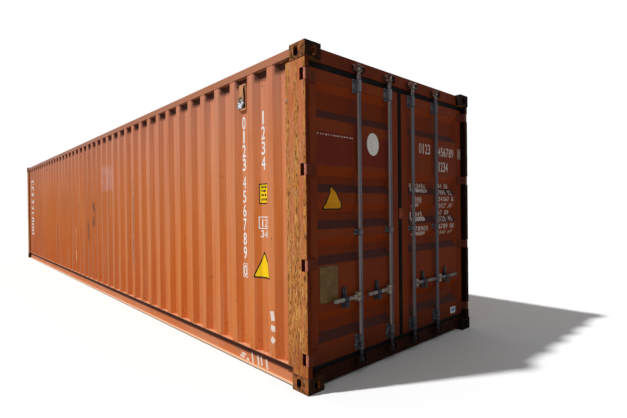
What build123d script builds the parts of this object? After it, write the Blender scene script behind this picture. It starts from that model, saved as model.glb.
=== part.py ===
"""Forty-foot steel freight container with two hinged end doors, in millimetres.

X runs along the container with the doors at +X, Z is up and the origin is the centre of
the base. Seen from outside the doors, the left door is on the -Y side."""

import os

from build123d import *

LEFT = -1
RIGHT = 1

# Overall size
length = 12192
width = 2438
height = 2591

# Corner castings
casting_length = 178
casting_width = 162
casting_height = 118
casting_plate = 28
casting_wall = 20
aperture_length = 124
aperture_width = 63.5
aperture_inset_x = 103.5
aperture_inset_y = 89.5
side_aperture_height = 79.5
side_aperture_width = 51

# Frame members
frame_inset = 4
roof_drop = 4
top_rail_size = 60
top_rail_wall = 3
bottom_rail_low = 12
bottom_rail_height = 158
bottom_rail_top_flange = 48
bottom_rail_low_flange = 30
bottom_rail_wall = 4.5
post_length = 232
post_width = 45
post_wall = 6
post_round = 8
blind_post_depth = 48

# Side walls
wall_sheet = 2
wall_depth = 36
wall_crest = 72
wall_slope = 68
wall_aimed_pitch = 283
wall_end_gap = 195
wall_inset = 2

# Blind end wall
end_wall_depth = 45.6
end_wall_pitch = 250
end_wall_crest = 110
end_wall_slope = 18

# Roof
roof_sheet = 2
roof_rib_height = 18
roof_rib_width = 118
roof_rib_slope = 13.5
roof_rib_pitch = 209
roof_rib_margin = 60

# Floor and underframe
floor_thickness = 28
floor_gap = 5
cross_height = 122
cross_top_flange = 45
cross_wall = 4
cross_pitch = 300
sill_to_cross = 300
tunnel_width = 1029
tunnel_length = 3320
tunnel_wall = 6

# Door header and sill
face_depth = 58
header_clear = 3
header_wall = 5
header_stop_drop = 27
stop_depth = 60
sill_depth = 136
sill_low = 15
sill_front_top = 132
sill_wall = 5

# Blind end header and sill
blind_header_depth = 60
blind_header_plate = 4
blind_sill_depth = 68
blind_sill_wall = 5
blind_sill_low = 12

# Door leaves
leaf_thickness = 50
leaf_sill_gap = 38
leaf_header_gap = 51
leaf_jamb_gap = 20
leaf_inner_left = 26
leaf_inner_right = 30
leaf_wall = 3
outer_stile = 88
inner_stile = 96
top_stile = 82
bottom_stile = 158

# Pressed door panels: the low and high edge of each recess as a share of the leaf's height
panel_setback = 3
panel_sheet = 2
recess_depth = 36
recess_slope = 68
recess_end_slope = 46
recess_edge = 4
recess_low_shares = (0.0718, 0.3348, 0.4563, 0.5836, 0.8373)
recess_high_shares = (0.1734, 0.4244, 0.5455, 0.6714, 0.9619)

# Door seals
seal_gap = 5
seal_top_gap = 6
seal_depth = 40
seal_setback = 2
left_lip = 8
centre_slit = 8

# Hinges, their levels as shares of the leaf's height
hinge_shares = (0.0364, 0.3437, 0.6563, 0.9663)
barrel_radius = 15
barrel_height = 85
barrel_inset = 2
pin_radius = 8
pin_clearance = 0.3
blade_thickness = 10
blade_bend = 4
jamb_gap = 3
blade_reach = 92
pocket_gap = 3
pocket_clear = 4
lug_thickness = 14
lug_back = 8

# Locking rods, their places as shares of the leaf's outer edge
rod_radius = 17
rod_stand_off = 28
rod_shares = (0.1552, 0.5174)
rod_clearance = 0.3
cam_height = 40
cam_radius = 22
cam_lobe_reach = 27
cam_nose_reach = 18
cam_lobe_radius = 9
cam_sill_drop = 46
cam_header_rise = 14

# Cam keepers
keeper_gap = 42
keeper_ear = 12
keeper_reach = 53
keeper_height = 52
keeper_plate = 8
keeper_margin = 6
keeper_round = 14

# Rod brackets, their levels as shares of the leaf's height
bracket_shares = (0.0355, 0.4404, 0.9756)
bracket_heights = (130, 46, 114)
bracket_widths = (108, 100, 108)
bracket_plate = 6
bearing_radius = 22
bearing_share = 0.86
bracket_round = 8

# Handles, and the pair of hub plates on each rod that a handle turns between
handle_share = 0.2049
hub_plate = 8
hub_plate_front = 8
hub_plate_far = 54
hub_plate_height = 76
hub_round = 5
handle_pivot = 33
handle_pin_radius = 7
pin_head_radius = 11
pin_head = 3
handle_eye_radius = 14
handle_eye_height = 44
handle_side_gap = 0.5
handle_taper = 92
left_handle_length = 330
right_handle_length = 375
handle_height = 28
handle_tip_out = 9

# Handle retainers
retainer_offset = 182
retainer_width = 54
retainer_drop = 74
retainer_height = 104
shelf_thickness = 7
shelf_gap = 6
shelf_reach = 50
shelf_width = 44
lug_drop = 46
ear_width = 42
ear_rise = 96
ear_thickness = 10
seal_hole_radius = 7

# Door plates
data_plate_width = 203
data_plate_height = 286
data_plate_thickness = 2
data_plate_outer_gap = 213
data_plate_share = 0.2661
centre_plate_width = 62
centre_plate_height = 100
centre_plate_thickness = 5
centre_plate_across = 15
centre_plate_share = 0.5033
centre_plate_round = 10

# Ventilators
vent_height = 226
vent_width = 100
vent_depth = 18
vent_drop = 249
vent_valley = 1
vent_hole_height = 180
vent_hole_width = 46
vent_slit_width = 40
vent_slit_height = 196
vent_shell = 2.5
vent_gap = 0.3

cut_over = 5

# Places worked out from the sizes above
end_x = length / 2
side_y = width / 2
casting_inner_x = end_x - casting_length
casting_inner_y = side_y - casting_width
aperture_spacing_x = length - 2 * aperture_inset_x
aperture_spacing_y = width - 2 * aperture_inset_y
frame_x = end_x - frame_inset
frame_y = side_y - frame_inset
post_height = height - 2 * casting_height
post_back_x = frame_x - post_length
jamb_y = frame_y - post_width
roof_top = height - roof_drop
top_rail_high = roof_top - roof_rib_height - roof_sheet
top_rail_low = top_rail_high - top_rail_size
bottom_rail_high = bottom_rail_low + bottom_rail_height
web_y = frame_y - bottom_rail_top_flange
wall_outer_y = frame_y - wall_inset
wall_first_flat = post_back_x - wall_end_gap
wall_flats = round(2 * wall_first_flat / wall_aimed_pitch) + 1
wall_pitch = 2 * wall_first_flat / (wall_flats - 1)
wall_valley_y = wall_outer_y - wall_depth
face_x = end_x - face_depth
header_back_x = casting_inner_x
header_low = height - casting_height + header_clear
stop_front_x = header_back_x + stop_depth
sill_back_x = face_x - sill_depth
floor_high = bottom_rail_high - wall_sheet
floor_low = floor_high - floor_thickness
rod_x = face_x + rod_stand_off
pin_x = frame_x - barrel_inset - barrel_radius
pin_y = frame_y - barrel_inset - barrel_radius
panel_x = face_x - panel_setback
blind_sill_back_x = -frame_x + blind_sill_depth
tunnel_outer_y = tunnel_width / 2 + tunnel_wall
tunnel_end_x = -frame_x + tunnel_length
leaf_low = sill_front_top + leaf_sill_gap
leaf_high = header_low - leaf_header_gap
leaf_height = leaf_high - leaf_low
leaf_outer = jamb_y - leaf_jamb_gap
recess_lows = [leaf_low + share * leaf_height for share in recess_low_shares]
recess_highs = [leaf_low + share * leaf_height for share in recess_high_shares]
hinge_levels = [leaf_low + share * leaf_height for share in hinge_shares]
bracket_levels = [leaf_low + share * leaf_height for share in bracket_shares]
handle_level = leaf_low + handle_share * leaf_height
data_plate_level = leaf_low + data_plate_share * leaf_height
centre_plate_level = leaf_low + centre_plate_share * leaf_height
data_plate_across = leaf_outer - data_plate_outer_gap
rod_spots = [share * leaf_outer for share in rod_shares]
rod_front_x = rod_x + rod_radius
left_lip_y = leaf_inner_left - left_lip
cam_low_level = sill_front_top - cam_sill_drop
cam_high_level = header_low + cam_header_rise
vent_level = height - vent_drop


def save(piece, name):
    """Label a finished piece and write it as the node of that name."""
    piece.label = name
    export_step(piece, f"parts/{name}.step")


def corrugation(half_span, flats, pitch, crest, slope, crest_at, valley_at):
    """Points along a sheet bent into flat crests, from one end to the other."""
    points = [(-half_span, valley_at)]
    for index in range(flats):
        centre = (index - (flats - 1) / 2) * pitch
        points += [
            (centre - crest / 2 - slope, valley_at),
            (centre - crest / 2, crest_at),
            (centre + crest / 2, crest_at),
            (centre + crest / 2 + slope, valley_at),
        ]
    points.append((half_span, valley_at))
    return points


def thickened(points, shift):
    """Closed outline of a thin sheet: a line of points and the same line moved across."""
    return points + [(along, across + shift) for along, across in reversed(points)]


# Corner castings: hollow blocks with an aperture in each outward face
def corner_castings(low, outer_face):
    with BuildPart() as castings:
        with BuildSketch(Plane.XY.offset(low)):
            with GridLocations(length - casting_length, width - casting_width, 2, 2):
                Rectangle(casting_length, casting_width)
        extrude(amount=casting_height)
        with BuildSketch(Plane.XY.offset(low + casting_plate)):
            with GridLocations(length - casting_length, width - casting_width, 2, 2):
                Rectangle(casting_length - 2 * casting_wall, casting_width - 2 * casting_wall)
        extrude(amount=casting_height - 2 * casting_plate, mode=Mode.SUBTRACT)
        with BuildSketch(Plane.XY.offset(outer_face)):
            with GridLocations(aperture_spacing_x, aperture_spacing_y, 2, 2):
                SlotOverall(aperture_length, aperture_width)
        extrude(amount=casting_plate, both=True, mode=Mode.SUBTRACT)
        middle = low + casting_height / 2
        for side in (LEFT, RIGHT):
            side_plane = Plane(origin=(0, side * side_y, middle), x_dir=(1, 0, 0), z_dir=(0, side, 0))
            with BuildSketch(side_plane):
                with GridLocations(aperture_spacing_x, 0, 2, 1):
                    SlotOverall(side_aperture_height, side_aperture_width, rotation=90)
            extrude(amount=casting_wall, both=True, mode=Mode.SUBTRACT)
            end_plane = Plane(origin=(side * end_x, 0, middle), x_dir=(0, 1, 0), z_dir=(side, 0, 0))
            with BuildSketch(end_plane):
                with GridLocations(aperture_spacing_y, 0, 2, 1):
                    SlotOverall(side_aperture_height, side_aperture_width, rotation=90)
            extrude(amount=casting_wall, both=True, mode=Mode.SUBTRACT)
    return castings.part


def notch_over_rail(side, end):
    """Cut a post back above its casting, where the bottom rail runs in under it."""
    notch_x = (casting_inner_x + post_back_x) / 2
    notch_z = (casting_height + bottom_rail_high) / 2
    with Locations((end * notch_x, side * frame_y, notch_z)):
        Box(
            casting_inner_x - post_back_x,
            2 * post_length,
            bottom_rail_high - casting_height,
            mode=Mode.SUBTRACT,
        )


# Door end posts: a folded box section with pockets, lugs and pins for the hinges
def door_post(side):
    centre_x = frame_x - post_length / 2
    centre_y = frame_y - post_width / 2
    pocket_height = barrel_height + 2 * pocket_gap
    blade_far = jamb_gap + blade_thickness + (pin_y - jamb_y)
    pocket_back_x = pin_x - blade_far - pocket_clear
    pocket_in_y = pin_y - barrel_radius - pocket_clear
    blade_back_x = pin_x + barrel_radius - blade_thickness - pocket_clear
    lug_height = pocket_height + 2 * lug_thickness
    with BuildPart() as post:
        with BuildSketch(Plane.XY.offset(casting_height)):
            with Locations((centre_x, side * centre_y)):
                RectangleRounded(post_length, post_width, post_round)
                Rectangle(post_length - 2 * post_wall, post_width - 2 * post_wall, mode=Mode.SUBTRACT)
        extrude(amount=post_height)
        lug_length = frame_x - post_wall - pocket_back_x + lug_back
        lug_x = frame_x - post_wall - lug_length / 2
        pocket_x = (pocket_back_x + frame_x + cut_over) / 2
        pocket_y = (pocket_in_y + frame_y + cut_over) / 2
        blade_x = (blade_back_x + frame_x + cut_over) / 2
        for level in hinge_levels:
            with Locations((lug_x, side * centre_y, level)):
                Box(lug_length, post_width - 2 * post_wall, lug_height)
            with Locations((pocket_x, side * pocket_y, level)):
                Box(
                    frame_x + cut_over - pocket_back_x,
                    frame_y + cut_over - pocket_in_y,
                    pocket_height,
                    mode=Mode.SUBTRACT,
                )
            with Locations((blade_x, side * centre_y, level)):
                Box(
                    frame_x + cut_over - blade_back_x,
                    post_width + 2 * cut_over,
                    pocket_height,
                    mode=Mode.SUBTRACT,
                )
            with Locations((pin_x, side * pin_y, level)):
                Cylinder(pin_radius, pocket_height + lug_thickness)
        notch_over_rail(side, RIGHT)
    return post.part


# Blind end posts: an angle-shaped box section round the corner
def blind_post(side):
    outer = [
        (-frame_x, side * frame_y),
        (-frame_x + post_length, side * frame_y),
        (-frame_x + post_length, side * jamb_y),
        (-frame_x + blind_post_depth, side * jamb_y),
        (-frame_x + blind_post_depth, side * casting_inner_y),
        (-frame_x, side * casting_inner_y),
    ]
    with BuildPart() as post:
        with BuildSketch(Plane.XY.offset(casting_height)):
            with BuildLine():
                Polyline(*outer, close=True)
            make_face()
            offset(amount=-post_wall, mode=Mode.SUBTRACT)
        extrude(amount=post_height)
        notch_over_rail(side, LEFT)
    return post.part


# Top side rails: square tube between the castings
def top_rail(side):
    rail_centre = (side * (frame_y - top_rail_size / 2), top_rail_low + top_rail_size / 2)
    inside = top_rail_size - 2 * top_rail_wall
    with BuildPart() as rail:
        with BuildSketch(Plane.YZ):
            with Locations(rail_centre):
                Rectangle(top_rail_size, top_rail_size)
                Rectangle(inside, inside, mode=Mode.SUBTRACT)
        extrude(amount=casting_inner_x, both=True)
    return rail.part


# Bottom side rails: channel with both flanges turned outwards, the upper one wider
def bottom_rail(side):
    low_y = web_y + bottom_rail_low_flange
    inner_web_y = web_y + bottom_rail_wall
    section = [
        (side * web_y, bottom_rail_low),
        (side * low_y, bottom_rail_low),
        (side * low_y, bottom_rail_low + bottom_rail_wall),
        (side * inner_web_y, bottom_rail_low + bottom_rail_wall),
        (side * inner_web_y, bottom_rail_high - bottom_rail_wall),
        (side * frame_y, bottom_rail_high - bottom_rail_wall),
        (side * frame_y, bottom_rail_high),
        (side * web_y, bottom_rail_high),
    ]
    with BuildPart() as rail:
        with BuildSketch(Plane.YZ):
            with BuildLine():
                Polyline(*section, close=True)
            make_face()
        extrude(amount=casting_inner_x, both=True)
    return rail.part


# Side walls: corrugated sheet, with a hole behind the ventilator
def side_wall(side, vent_x):
    line = corrugation(
        post_back_x,
        wall_flats,
        wall_pitch,
        wall_crest,
        wall_slope,
        side * wall_outer_y,
        side * wall_valley_y,
    )
    with BuildPart() as wall:
        with BuildSketch(Plane.XY.offset(bottom_rail_high)):
            with BuildLine():
                Polyline(*thickened(line, -side * wall_sheet), close=True)
            make_face()
        extrude(amount=top_rail_low - bottom_rail_high)
        with Locations((vent_x, side * wall_valley_y, vent_level)):
            Box(vent_hole_width, 2 * cut_over, vent_hole_height, mode=Mode.SUBTRACT)
    return wall.part


# Blind end wall: deeper and narrower corrugations than the sides
def blind_wall():
    crest_x = -frame_x + frame_inset
    room = 2 * (casting_inner_y - end_wall_slope) - end_wall_crest
    line = corrugation(
        casting_inner_y,
        int(room / end_wall_pitch) + 1,
        end_wall_pitch,
        end_wall_crest,
        end_wall_slope,
        crest_x,
        crest_x + end_wall_depth,
    )
    outline = [(along_x, across_y) for across_y, along_x in thickened(line, wall_sheet)]
    with BuildPart() as wall:
        with BuildSketch(Plane.XY.offset(bottom_rail_high)):
            with BuildLine():
                Polyline(*outline, close=True)
            make_face()
        extrude(amount=top_rail_low - bottom_rail_high)
    return wall.part


# Roof: flat sheet with raised cross ribs that stop short of the rails
def roof_rib(low):
    rib_length = 2 * (frame_y - roof_rib_margin)
    with BuildPart() as rib:
        with BuildSketch(Plane.XY.offset(low)):
            Rectangle(roof_rib_width, rib_length)
        with BuildSketch(Plane.XY.offset(low + roof_rib_height)):
            Rectangle(roof_rib_width - 2 * roof_rib_slope, rib_length - 2 * roof_rib_slope)
        loft()
    return rib.part


def roof():
    raised = roof_rib(top_rail_high + roof_sheet)
    hollow = roof_rib(top_rail_high)
    room = 2 * (header_back_x - roof_rib_margin) - roof_rib_width
    rib_count = int(room / roof_rib_pitch) + 1
    with BuildPart() as sheet:
        with BuildSketch(Plane.XY.offset(top_rail_high)):
            Rectangle(2 * header_back_x, 2 * (frame_y - wall_inset))
        extrude(amount=roof_sheet)
        with GridLocations(roof_rib_pitch, 0, rib_count, 1):
            add(raised)
        with GridLocations(roof_rib_pitch, 0, rib_count, 1):
            add(hollow, mode=Mode.SUBTRACT)
    return sheet.part


# Door header: stepped box between the top castings, the step stopping the doors
def door_header():
    stop_low = header_low - header_stop_drop
    upper = [
        (header_back_x, header_low - header_clear),
        (header_back_x, roof_top - roof_sheet),
        (face_x, roof_top - roof_sheet),
        (face_x, header_low),
        (stop_front_x, header_low),
        (stop_front_x, header_low - header_clear),
    ]
    with BuildPart() as header:
        with BuildSketch(Plane.XZ):
            with BuildLine():
                Polyline(*upper, close=True)
            make_face()
            offset(amount=-header_wall, mode=Mode.SUBTRACT)
        extrude(amount=casting_inner_y, both=True)
        stop_height = header_low - header_clear - stop_low
        with BuildSketch(Plane.XZ):
            with Locations((header_back_x + stop_depth / 2, stop_low + stop_height / 2)):
                Rectangle(stop_depth, stop_height)
                Rectangle(stop_depth - 2 * header_wall, stop_height - 2 * header_wall, mode=Mode.SUBTRACT)
        extrude(amount=jamb_y, both=True)
    return header.part


# Door sill: stepped box between the bottom castings, level with the floor behind
def door_sill():
    lower = [
        (sill_back_x, sill_low),
        (sill_back_x, casting_height),
        (face_x, casting_height),
        (face_x, sill_low),
    ]
    upper = [
        (sill_back_x, casting_height),
        (sill_back_x, floor_high),
        (stop_front_x, floor_high),
        (stop_front_x, sill_front_top),
        (face_x, sill_front_top),
        (face_x, casting_height),
    ]
    with BuildPart() as sill:
        for outline, reach in ((lower, casting_inner_y), (upper, web_y)):
            with BuildSketch(Plane.XZ):
                with BuildLine():
                    Polyline(*outline, close=True)
                make_face()
                offset(amount=-sill_wall, mode=Mode.SUBTRACT)
            extrude(amount=reach, both=True)
    return sill.part


# Blind end header: square tube with a plate that carries the end of the roof
def blind_header():
    plate_low = roof_top - roof_sheet - blind_header_plate
    with BuildPart() as header:
        with BuildSketch(Plane.XZ):
            with Locations((-frame_x + blind_header_depth / 2, (top_rail_low + roof_top - roof_sheet) / 2)):
                Rectangle(blind_header_depth, roof_top - roof_sheet - top_rail_low)
                Rectangle(
                    blind_header_depth - 2 * top_rail_wall,
                    roof_top - roof_sheet - top_rail_low - 2 * top_rail_wall,
                    mode=Mode.SUBTRACT,
                )
        extrude(amount=casting_inner_y, both=True)
        plate_length = frame_x - blind_header_depth - header_back_x
        with Locations((-header_back_x - plate_length / 2, 0, plate_low + blind_header_plate / 2)):
            Box(plate_length, 2 * casting_inner_y, blind_header_plate)
    return header.part


# Blind end sill: a box beam each side of the tunnel and a bar over it
def blind_sill():
    beam_length = casting_inner_y - tunnel_outer_y
    beam_height = bottom_rail_high - blind_sill_low
    beam_y = (casting_inner_y + tunnel_outer_y) / 2
    hollow = 2 * blind_sill_wall
    centre_x = -frame_x + blind_sill_depth / 2
    with BuildPart() as beams:
        with Locations((centre_x, 0, blind_sill_low + beam_height / 2)):
            with GridLocations(0, 2 * beam_y, 1, 2):
                Box(blind_sill_depth, beam_length, beam_height)
                Box(
                    blind_sill_depth - hollow,
                    beam_length - hollow,
                    beam_height - hollow,
                    mode=Mode.SUBTRACT,
                )
    with BuildPart() as bar:
        with Locations((centre_x, 0, (floor_low + bottom_rail_high) / 2)):
            Box(blind_sill_depth, 2 * tunnel_outer_y, bottom_rail_high - floor_low)
    return Compound(children=[*beams.solids(), *bar.solids()])


# Floor boards, from the blind sill to the door sill
def floor():
    reach = web_y - floor_gap
    with BuildPart() as boards:
        span = sill_back_x - blind_sill_back_x
        with Locations(((sill_back_x + blind_sill_back_x) / 2, 0, floor_low + floor_thickness / 2)):
            Box(span, 2 * reach, floor_thickness)
    return boards.part


# Cross members: channels under the floor, short ones beside the tunnel
def channel_section(back_x):
    bottom = floor_low - cross_height
    return [
        (back_x, bottom),
        (back_x + cross_top_flange, bottom),
        (back_x + cross_top_flange, bottom + cross_wall),
        (back_x + cross_wall, bottom + cross_wall),
        (back_x + cross_wall, floor_low - cross_wall),
        (back_x + cross_top_flange, floor_low - cross_wall),
        (back_x + cross_top_flange, floor_low),
        (back_x, floor_low),
    ]


def cross_members():
    first_x = sill_back_x - sill_to_cross
    full_count = int((first_x - tunnel_end_x) / cross_pitch) + 1
    full = [first_x - index * cross_pitch for index in range(full_count)]
    short_count = int((full[-1] - blind_sill_back_x - sill_to_cross) / cross_pitch)
    short = [full[-1] - (index + 1) * cross_pitch for index in range(short_count)]
    spans = (
        (full, -web_y, web_y),
        (short, -web_y, -tunnel_outer_y),
        (short, tunnel_outer_y, web_y),
    )
    with BuildPart() as members:
        for places, near_y, far_y in spans:
            with BuildSketch(Plane.XZ.offset(-far_y)):
                for back_x in places:
                    with BuildLine():
                        Polyline(*channel_section(back_x), close=True)
                    make_face()
            extrude(amount=far_y - near_y)
    return members.part


# Gooseneck tunnel: a long inverted channel let into the underframe
def gooseneck_tunnel():
    bottom = floor_low - cross_height
    with BuildPart() as tunnel:
        with BuildSketch(Plane.YZ.offset(-frame_x)):
            with Locations((0, bottom + cross_height / 2)):
                Rectangle(2 * tunnel_outer_y, cross_height)
            with Locations((0, bottom + (cross_height - tunnel_wall) / 2)):
                Rectangle(tunnel_width, cross_height - tunnel_wall, mode=Mode.SUBTRACT)
        extrude(amount=tunnel_length)
    return tunnel.part


# Ventilators: a louvred tray in a wall valley, the left one torn open along one edge
def ventilators(left_x, right_x):
    valley_half = (wall_pitch - wall_crest - 2 * wall_slope) / 2 - vent_gap
    flare = (vent_width / 2 - valley_half) * wall_depth / wall_slope
    with BuildPart() as vents:
        for side, vent_x in ((LEFT, left_x), (RIGHT, right_x)):
            base_y = wall_valley_y + vent_gap
            outline = [
                (vent_x - valley_half, side * base_y),
                (vent_x - vent_width / 2, side * (base_y + flare)),
                (vent_x - vent_width / 2, side * (base_y + vent_depth)),
                (vent_x + vent_width / 2, side * (base_y + vent_depth)),
                (vent_x + vent_width / 2, side * (base_y + flare)),
                (vent_x + valley_half, side * base_y),
            ]
            with BuildSketch(Plane.XY.offset(vent_level - vent_height / 2)):
                with BuildLine():
                    Polyline(*outline, close=True)
                make_face()
            extrude(amount=vent_height)
            inside = vent_depth - vent_shell
            with Locations((vent_x, side * (base_y + inside / 2), vent_level)):
                Box(vent_hole_width, inside, vent_hole_height, mode=Mode.SUBTRACT)
        slit_x = left_x + vent_width / 2 - vent_slit_width / 2 - vent_shell
        with Locations((slit_x, LEFT * (wall_valley_y + vent_depth), vent_level)):
            Box(vent_slit_width, vent_depth, vent_slit_height, mode=Mode.SUBTRACT)
    return vents.part


# Cam keepers: sockets on the header and the sill, open towards the front
def cam_keepers():
    keeper_width = 2 * (keeper_gap + keeper_ear)
    sets = (
        (cam_high_level - keeper_margin, 1),
        (cam_low_level + cam_height + keeper_margin - keeper_height, -1),
    )
    with BuildPart() as keepers:
        for low, cap in sets:
            spots = [side * spot for side in (LEFT, RIGHT) for spot in rod_spots]
            for spot in spots:
                with BuildSketch(Plane.XY.offset(low)):
                    with Locations((face_x + keeper_reach / 2, spot)):
                        Rectangle(keeper_reach, keeper_width)
                        Rectangle(keeper_reach, 2 * keeper_gap, mode=Mode.SUBTRACT)
                extrude(amount=keeper_height)
                plate_z = low + keeper_height / 2 + cap * (keeper_height + keeper_plate) / 2
                with Locations((face_x + keeper_reach / 2, spot, plate_z)):
                    Box(keeper_reach, keeper_width, keeper_plate)
        fronts = keepers.edges().filter_by(Axis.Y).group_by(Axis.X)[-1]
        middle = height / 2
        low_fronts = [edge for edge in fronts if edge.center().Z < middle]
        high_fronts = [edge for edge in fronts if edge.center().Z > middle]
        lowest = ShapeList(low_fronts).group_by(Axis.Z)[0]
        highest = ShapeList(high_fronts).group_by(Axis.Z)[-1]
        fillet(ShapeList(list(lowest) + list(highest)), radius=keeper_plate / 2)
        fillet(ear_tips(keepers), radius=keeper_round)
    return keepers.part


def ear_tips(keepers):
    """The short front edges where each ear ends, away from its cap plate."""
    fronts = keepers.edges().filter_by(Axis.Y).group_by(Axis.X)[-1]
    short = [edge for edge in fronts if edge.length < keeper_ear + pin_clearance]
    return ShapeList(short)


# Door leaf frames: hollow stiles and rails welded into a ring
def across_span(side, inner, outer):
    """Middle of a span measured outwards from the container's centre line."""
    return side * (inner + outer) / 2


def door_frame(side, leaf_inner):
    leaf_width = leaf_outer - leaf_inner
    middle = (across_span(side, leaf_inner, leaf_outer), (leaf_low + leaf_high) / 2)
    window_inner = leaf_inner + inner_stile
    window_outer = leaf_outer - outer_stile
    window_low = leaf_low + bottom_stile
    window_high = leaf_high - top_stile
    window = (across_span(side, window_inner, window_outer), (window_low + window_high) / 2)
    window_width = window_outer - window_inner
    window_height = window_high - window_low
    with BuildPart() as frame:
        with BuildSketch(Plane.YZ.offset(face_x - leaf_thickness)):
            with Locations(middle):
                Rectangle(leaf_width, leaf_height)
            with Locations(window):
                Rectangle(window_width, window_height, mode=Mode.SUBTRACT)
        extrude(amount=leaf_thickness)
        with BuildSketch(Plane.YZ.offset(face_x - leaf_thickness + leaf_wall)):
            with Locations(middle):
                Rectangle(leaf_width - 2 * leaf_wall, leaf_height - 2 * leaf_wall)
            with Locations(window):
                Rectangle(window_width + 2 * leaf_wall, window_height + 2 * leaf_wall, mode=Mode.SUBTRACT)
        extrude(amount=leaf_thickness - 2 * leaf_wall, mode=Mode.SUBTRACT)
    return frame.part


# Pressed door panels: one sheet with five cross recesses that slope in on all four sides
def door_panel(side, leaf_inner):
    inner = leaf_inner + inner_stile
    outer = leaf_outer - outer_stile
    low = leaf_low + bottom_stile
    high = leaf_high - top_stile
    centre_y = across_span(side, inner, outer)
    recess_width = outer - inner - 2 * recess_edge
    with BuildPart() as panel:
        with BuildSketch(Plane.YZ.offset(panel_x - panel_sheet)):
            with Locations((centre_y, (low + high) / 2)):
                Rectangle(outer - inner, high - low)
        extrude(amount=panel_sheet)
        for shift, mode in ((panel_sheet, Mode.ADD), (0, Mode.SUBTRACT)):
            for recess_low, recess_high in zip(recess_lows, recess_highs):
                tall = recess_high - recess_low
                middle = (centre_y, (recess_low + recess_high) / 2)
                with BuildSketch(Plane.YZ.offset(panel_x - shift)):
                    with Locations(middle):
                        Rectangle(recess_width, tall)
                with BuildSketch(Plane.YZ.offset(panel_x - recess_depth - shift)):
                    with Locations(middle):
                        Rectangle(recess_width - 2 * recess_end_slope, tall - 2 * recess_slope)
                loft(mode=mode)
    return panel.part


# Door seals: rubber ring round each leaf, the right one filling the centre gap
def door_seal(side, leaf_inner, lip_across):
    outer = jamb_y - seal_gap
    low = sill_front_top + seal_top_gap
    high = header_low - seal_top_gap
    leaf_middle = (across_span(side, leaf_inner, leaf_outer), (leaf_low + leaf_high) / 2)
    with BuildPart() as seal:
        with BuildSketch(Plane.YZ.offset(face_x - seal_setback - seal_depth)):
            with Locations((across_span(side, lip_across, outer), (low + high) / 2)):
                Rectangle(outer - lip_across, high - low)
            with Locations(leaf_middle):
                Rectangle(leaf_outer - leaf_inner, leaf_height, mode=Mode.SUBTRACT)
        extrude(amount=seal_depth)
    return seal.part


# Hinges: a barrel on the post's pin and a cranked blade on the face of the stile
def door_hinges(side):
    front_x = pin_x + barrel_radius
    crank_far = jamb_y - jamb_gap
    crank_near = crank_far - blade_thickness
    blade_end = crank_far - blade_reach
    outline = [
        (pin_x, side * pin_y),
        (front_x, side * pin_y),
        (front_x, side * crank_near),
        (face_x + blade_thickness, side * crank_near),
        (face_x + blade_thickness, side * blade_end),
        (face_x, side * blade_end),
        (face_x, side * crank_far),
        (front_x - blade_thickness, side * crank_far),
        (front_x - blade_thickness, side * pin_y),
    ]
    with BuildPart() as hinges:
        for level in hinge_levels:
            with BuildSketch(Plane.XY.offset(level - barrel_height / 2)):
                with BuildLine():
                    Polyline(*outline[1:], close=True)
                make_face()
                with Locations(outline[0]):
                    Circle(barrel_radius)
                    Circle(pin_radius + pin_clearance, mode=Mode.SUBTRACT)
            extrude(amount=barrel_height)
        bends = hinges.edges().filter_by(Axis.Z).filter_by_position(
            Axis.X, face_x + blade_thickness - cut_over, front_x + cut_over
        )
        outer_bends = [edge for edge in bends if abs(abs(edge.center().Y) - crank_near) < pin_clearance]
        fillet(ShapeList(outer_bends), radius=blade_bend)
    return hinges.part


# Locking rods: tube with a cam at each end and two hub plates for its handle
def lock_rod(side, across):
    centre = (rod_x, side * across)
    with BuildPart() as rod:
        with BuildSketch(Plane.XY.offset(cam_low_level)):
            with Locations(centre):
                Circle(rod_radius)
        extrude(amount=cam_high_level + cam_height - cam_low_level)
        for level in (cam_low_level, cam_high_level):
            with BuildSketch(Plane.XY.offset(level)):
                with Locations(centre):
                    Circle(cam_radius)
                lobe_y = side * (across + cam_lobe_reach)
                with Locations((rod_x, lobe_y), (rod_x + cam_nose_reach, side * across)):
                    Circle(cam_lobe_radius)
                with Locations((rod_x, side * (across + cam_lobe_reach / 2))):
                    Rectangle(2 * cam_lobe_radius, cam_lobe_reach)
            extrude(amount=cam_height)
        plate_y = side * (across + (hub_plate_far - hub_plate_front) / 2)
        plate_width = hub_plate_far + hub_plate_front
        pivot_y = side * (across + handle_pivot)
        for back_x in (rod_front_x - hub_plate, rod_x - rod_radius):
            with BuildSketch(Plane.YZ.offset(back_x)):
                with Locations((plate_y, handle_level)):
                    RectangleRounded(plate_width, hub_plate_height, hub_round)
                with Locations((pivot_y, handle_level)):
                    Circle(handle_pin_radius + pin_clearance, mode=Mode.SUBTRACT)
            extrude(amount=hub_plate)
    return rod.part


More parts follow.
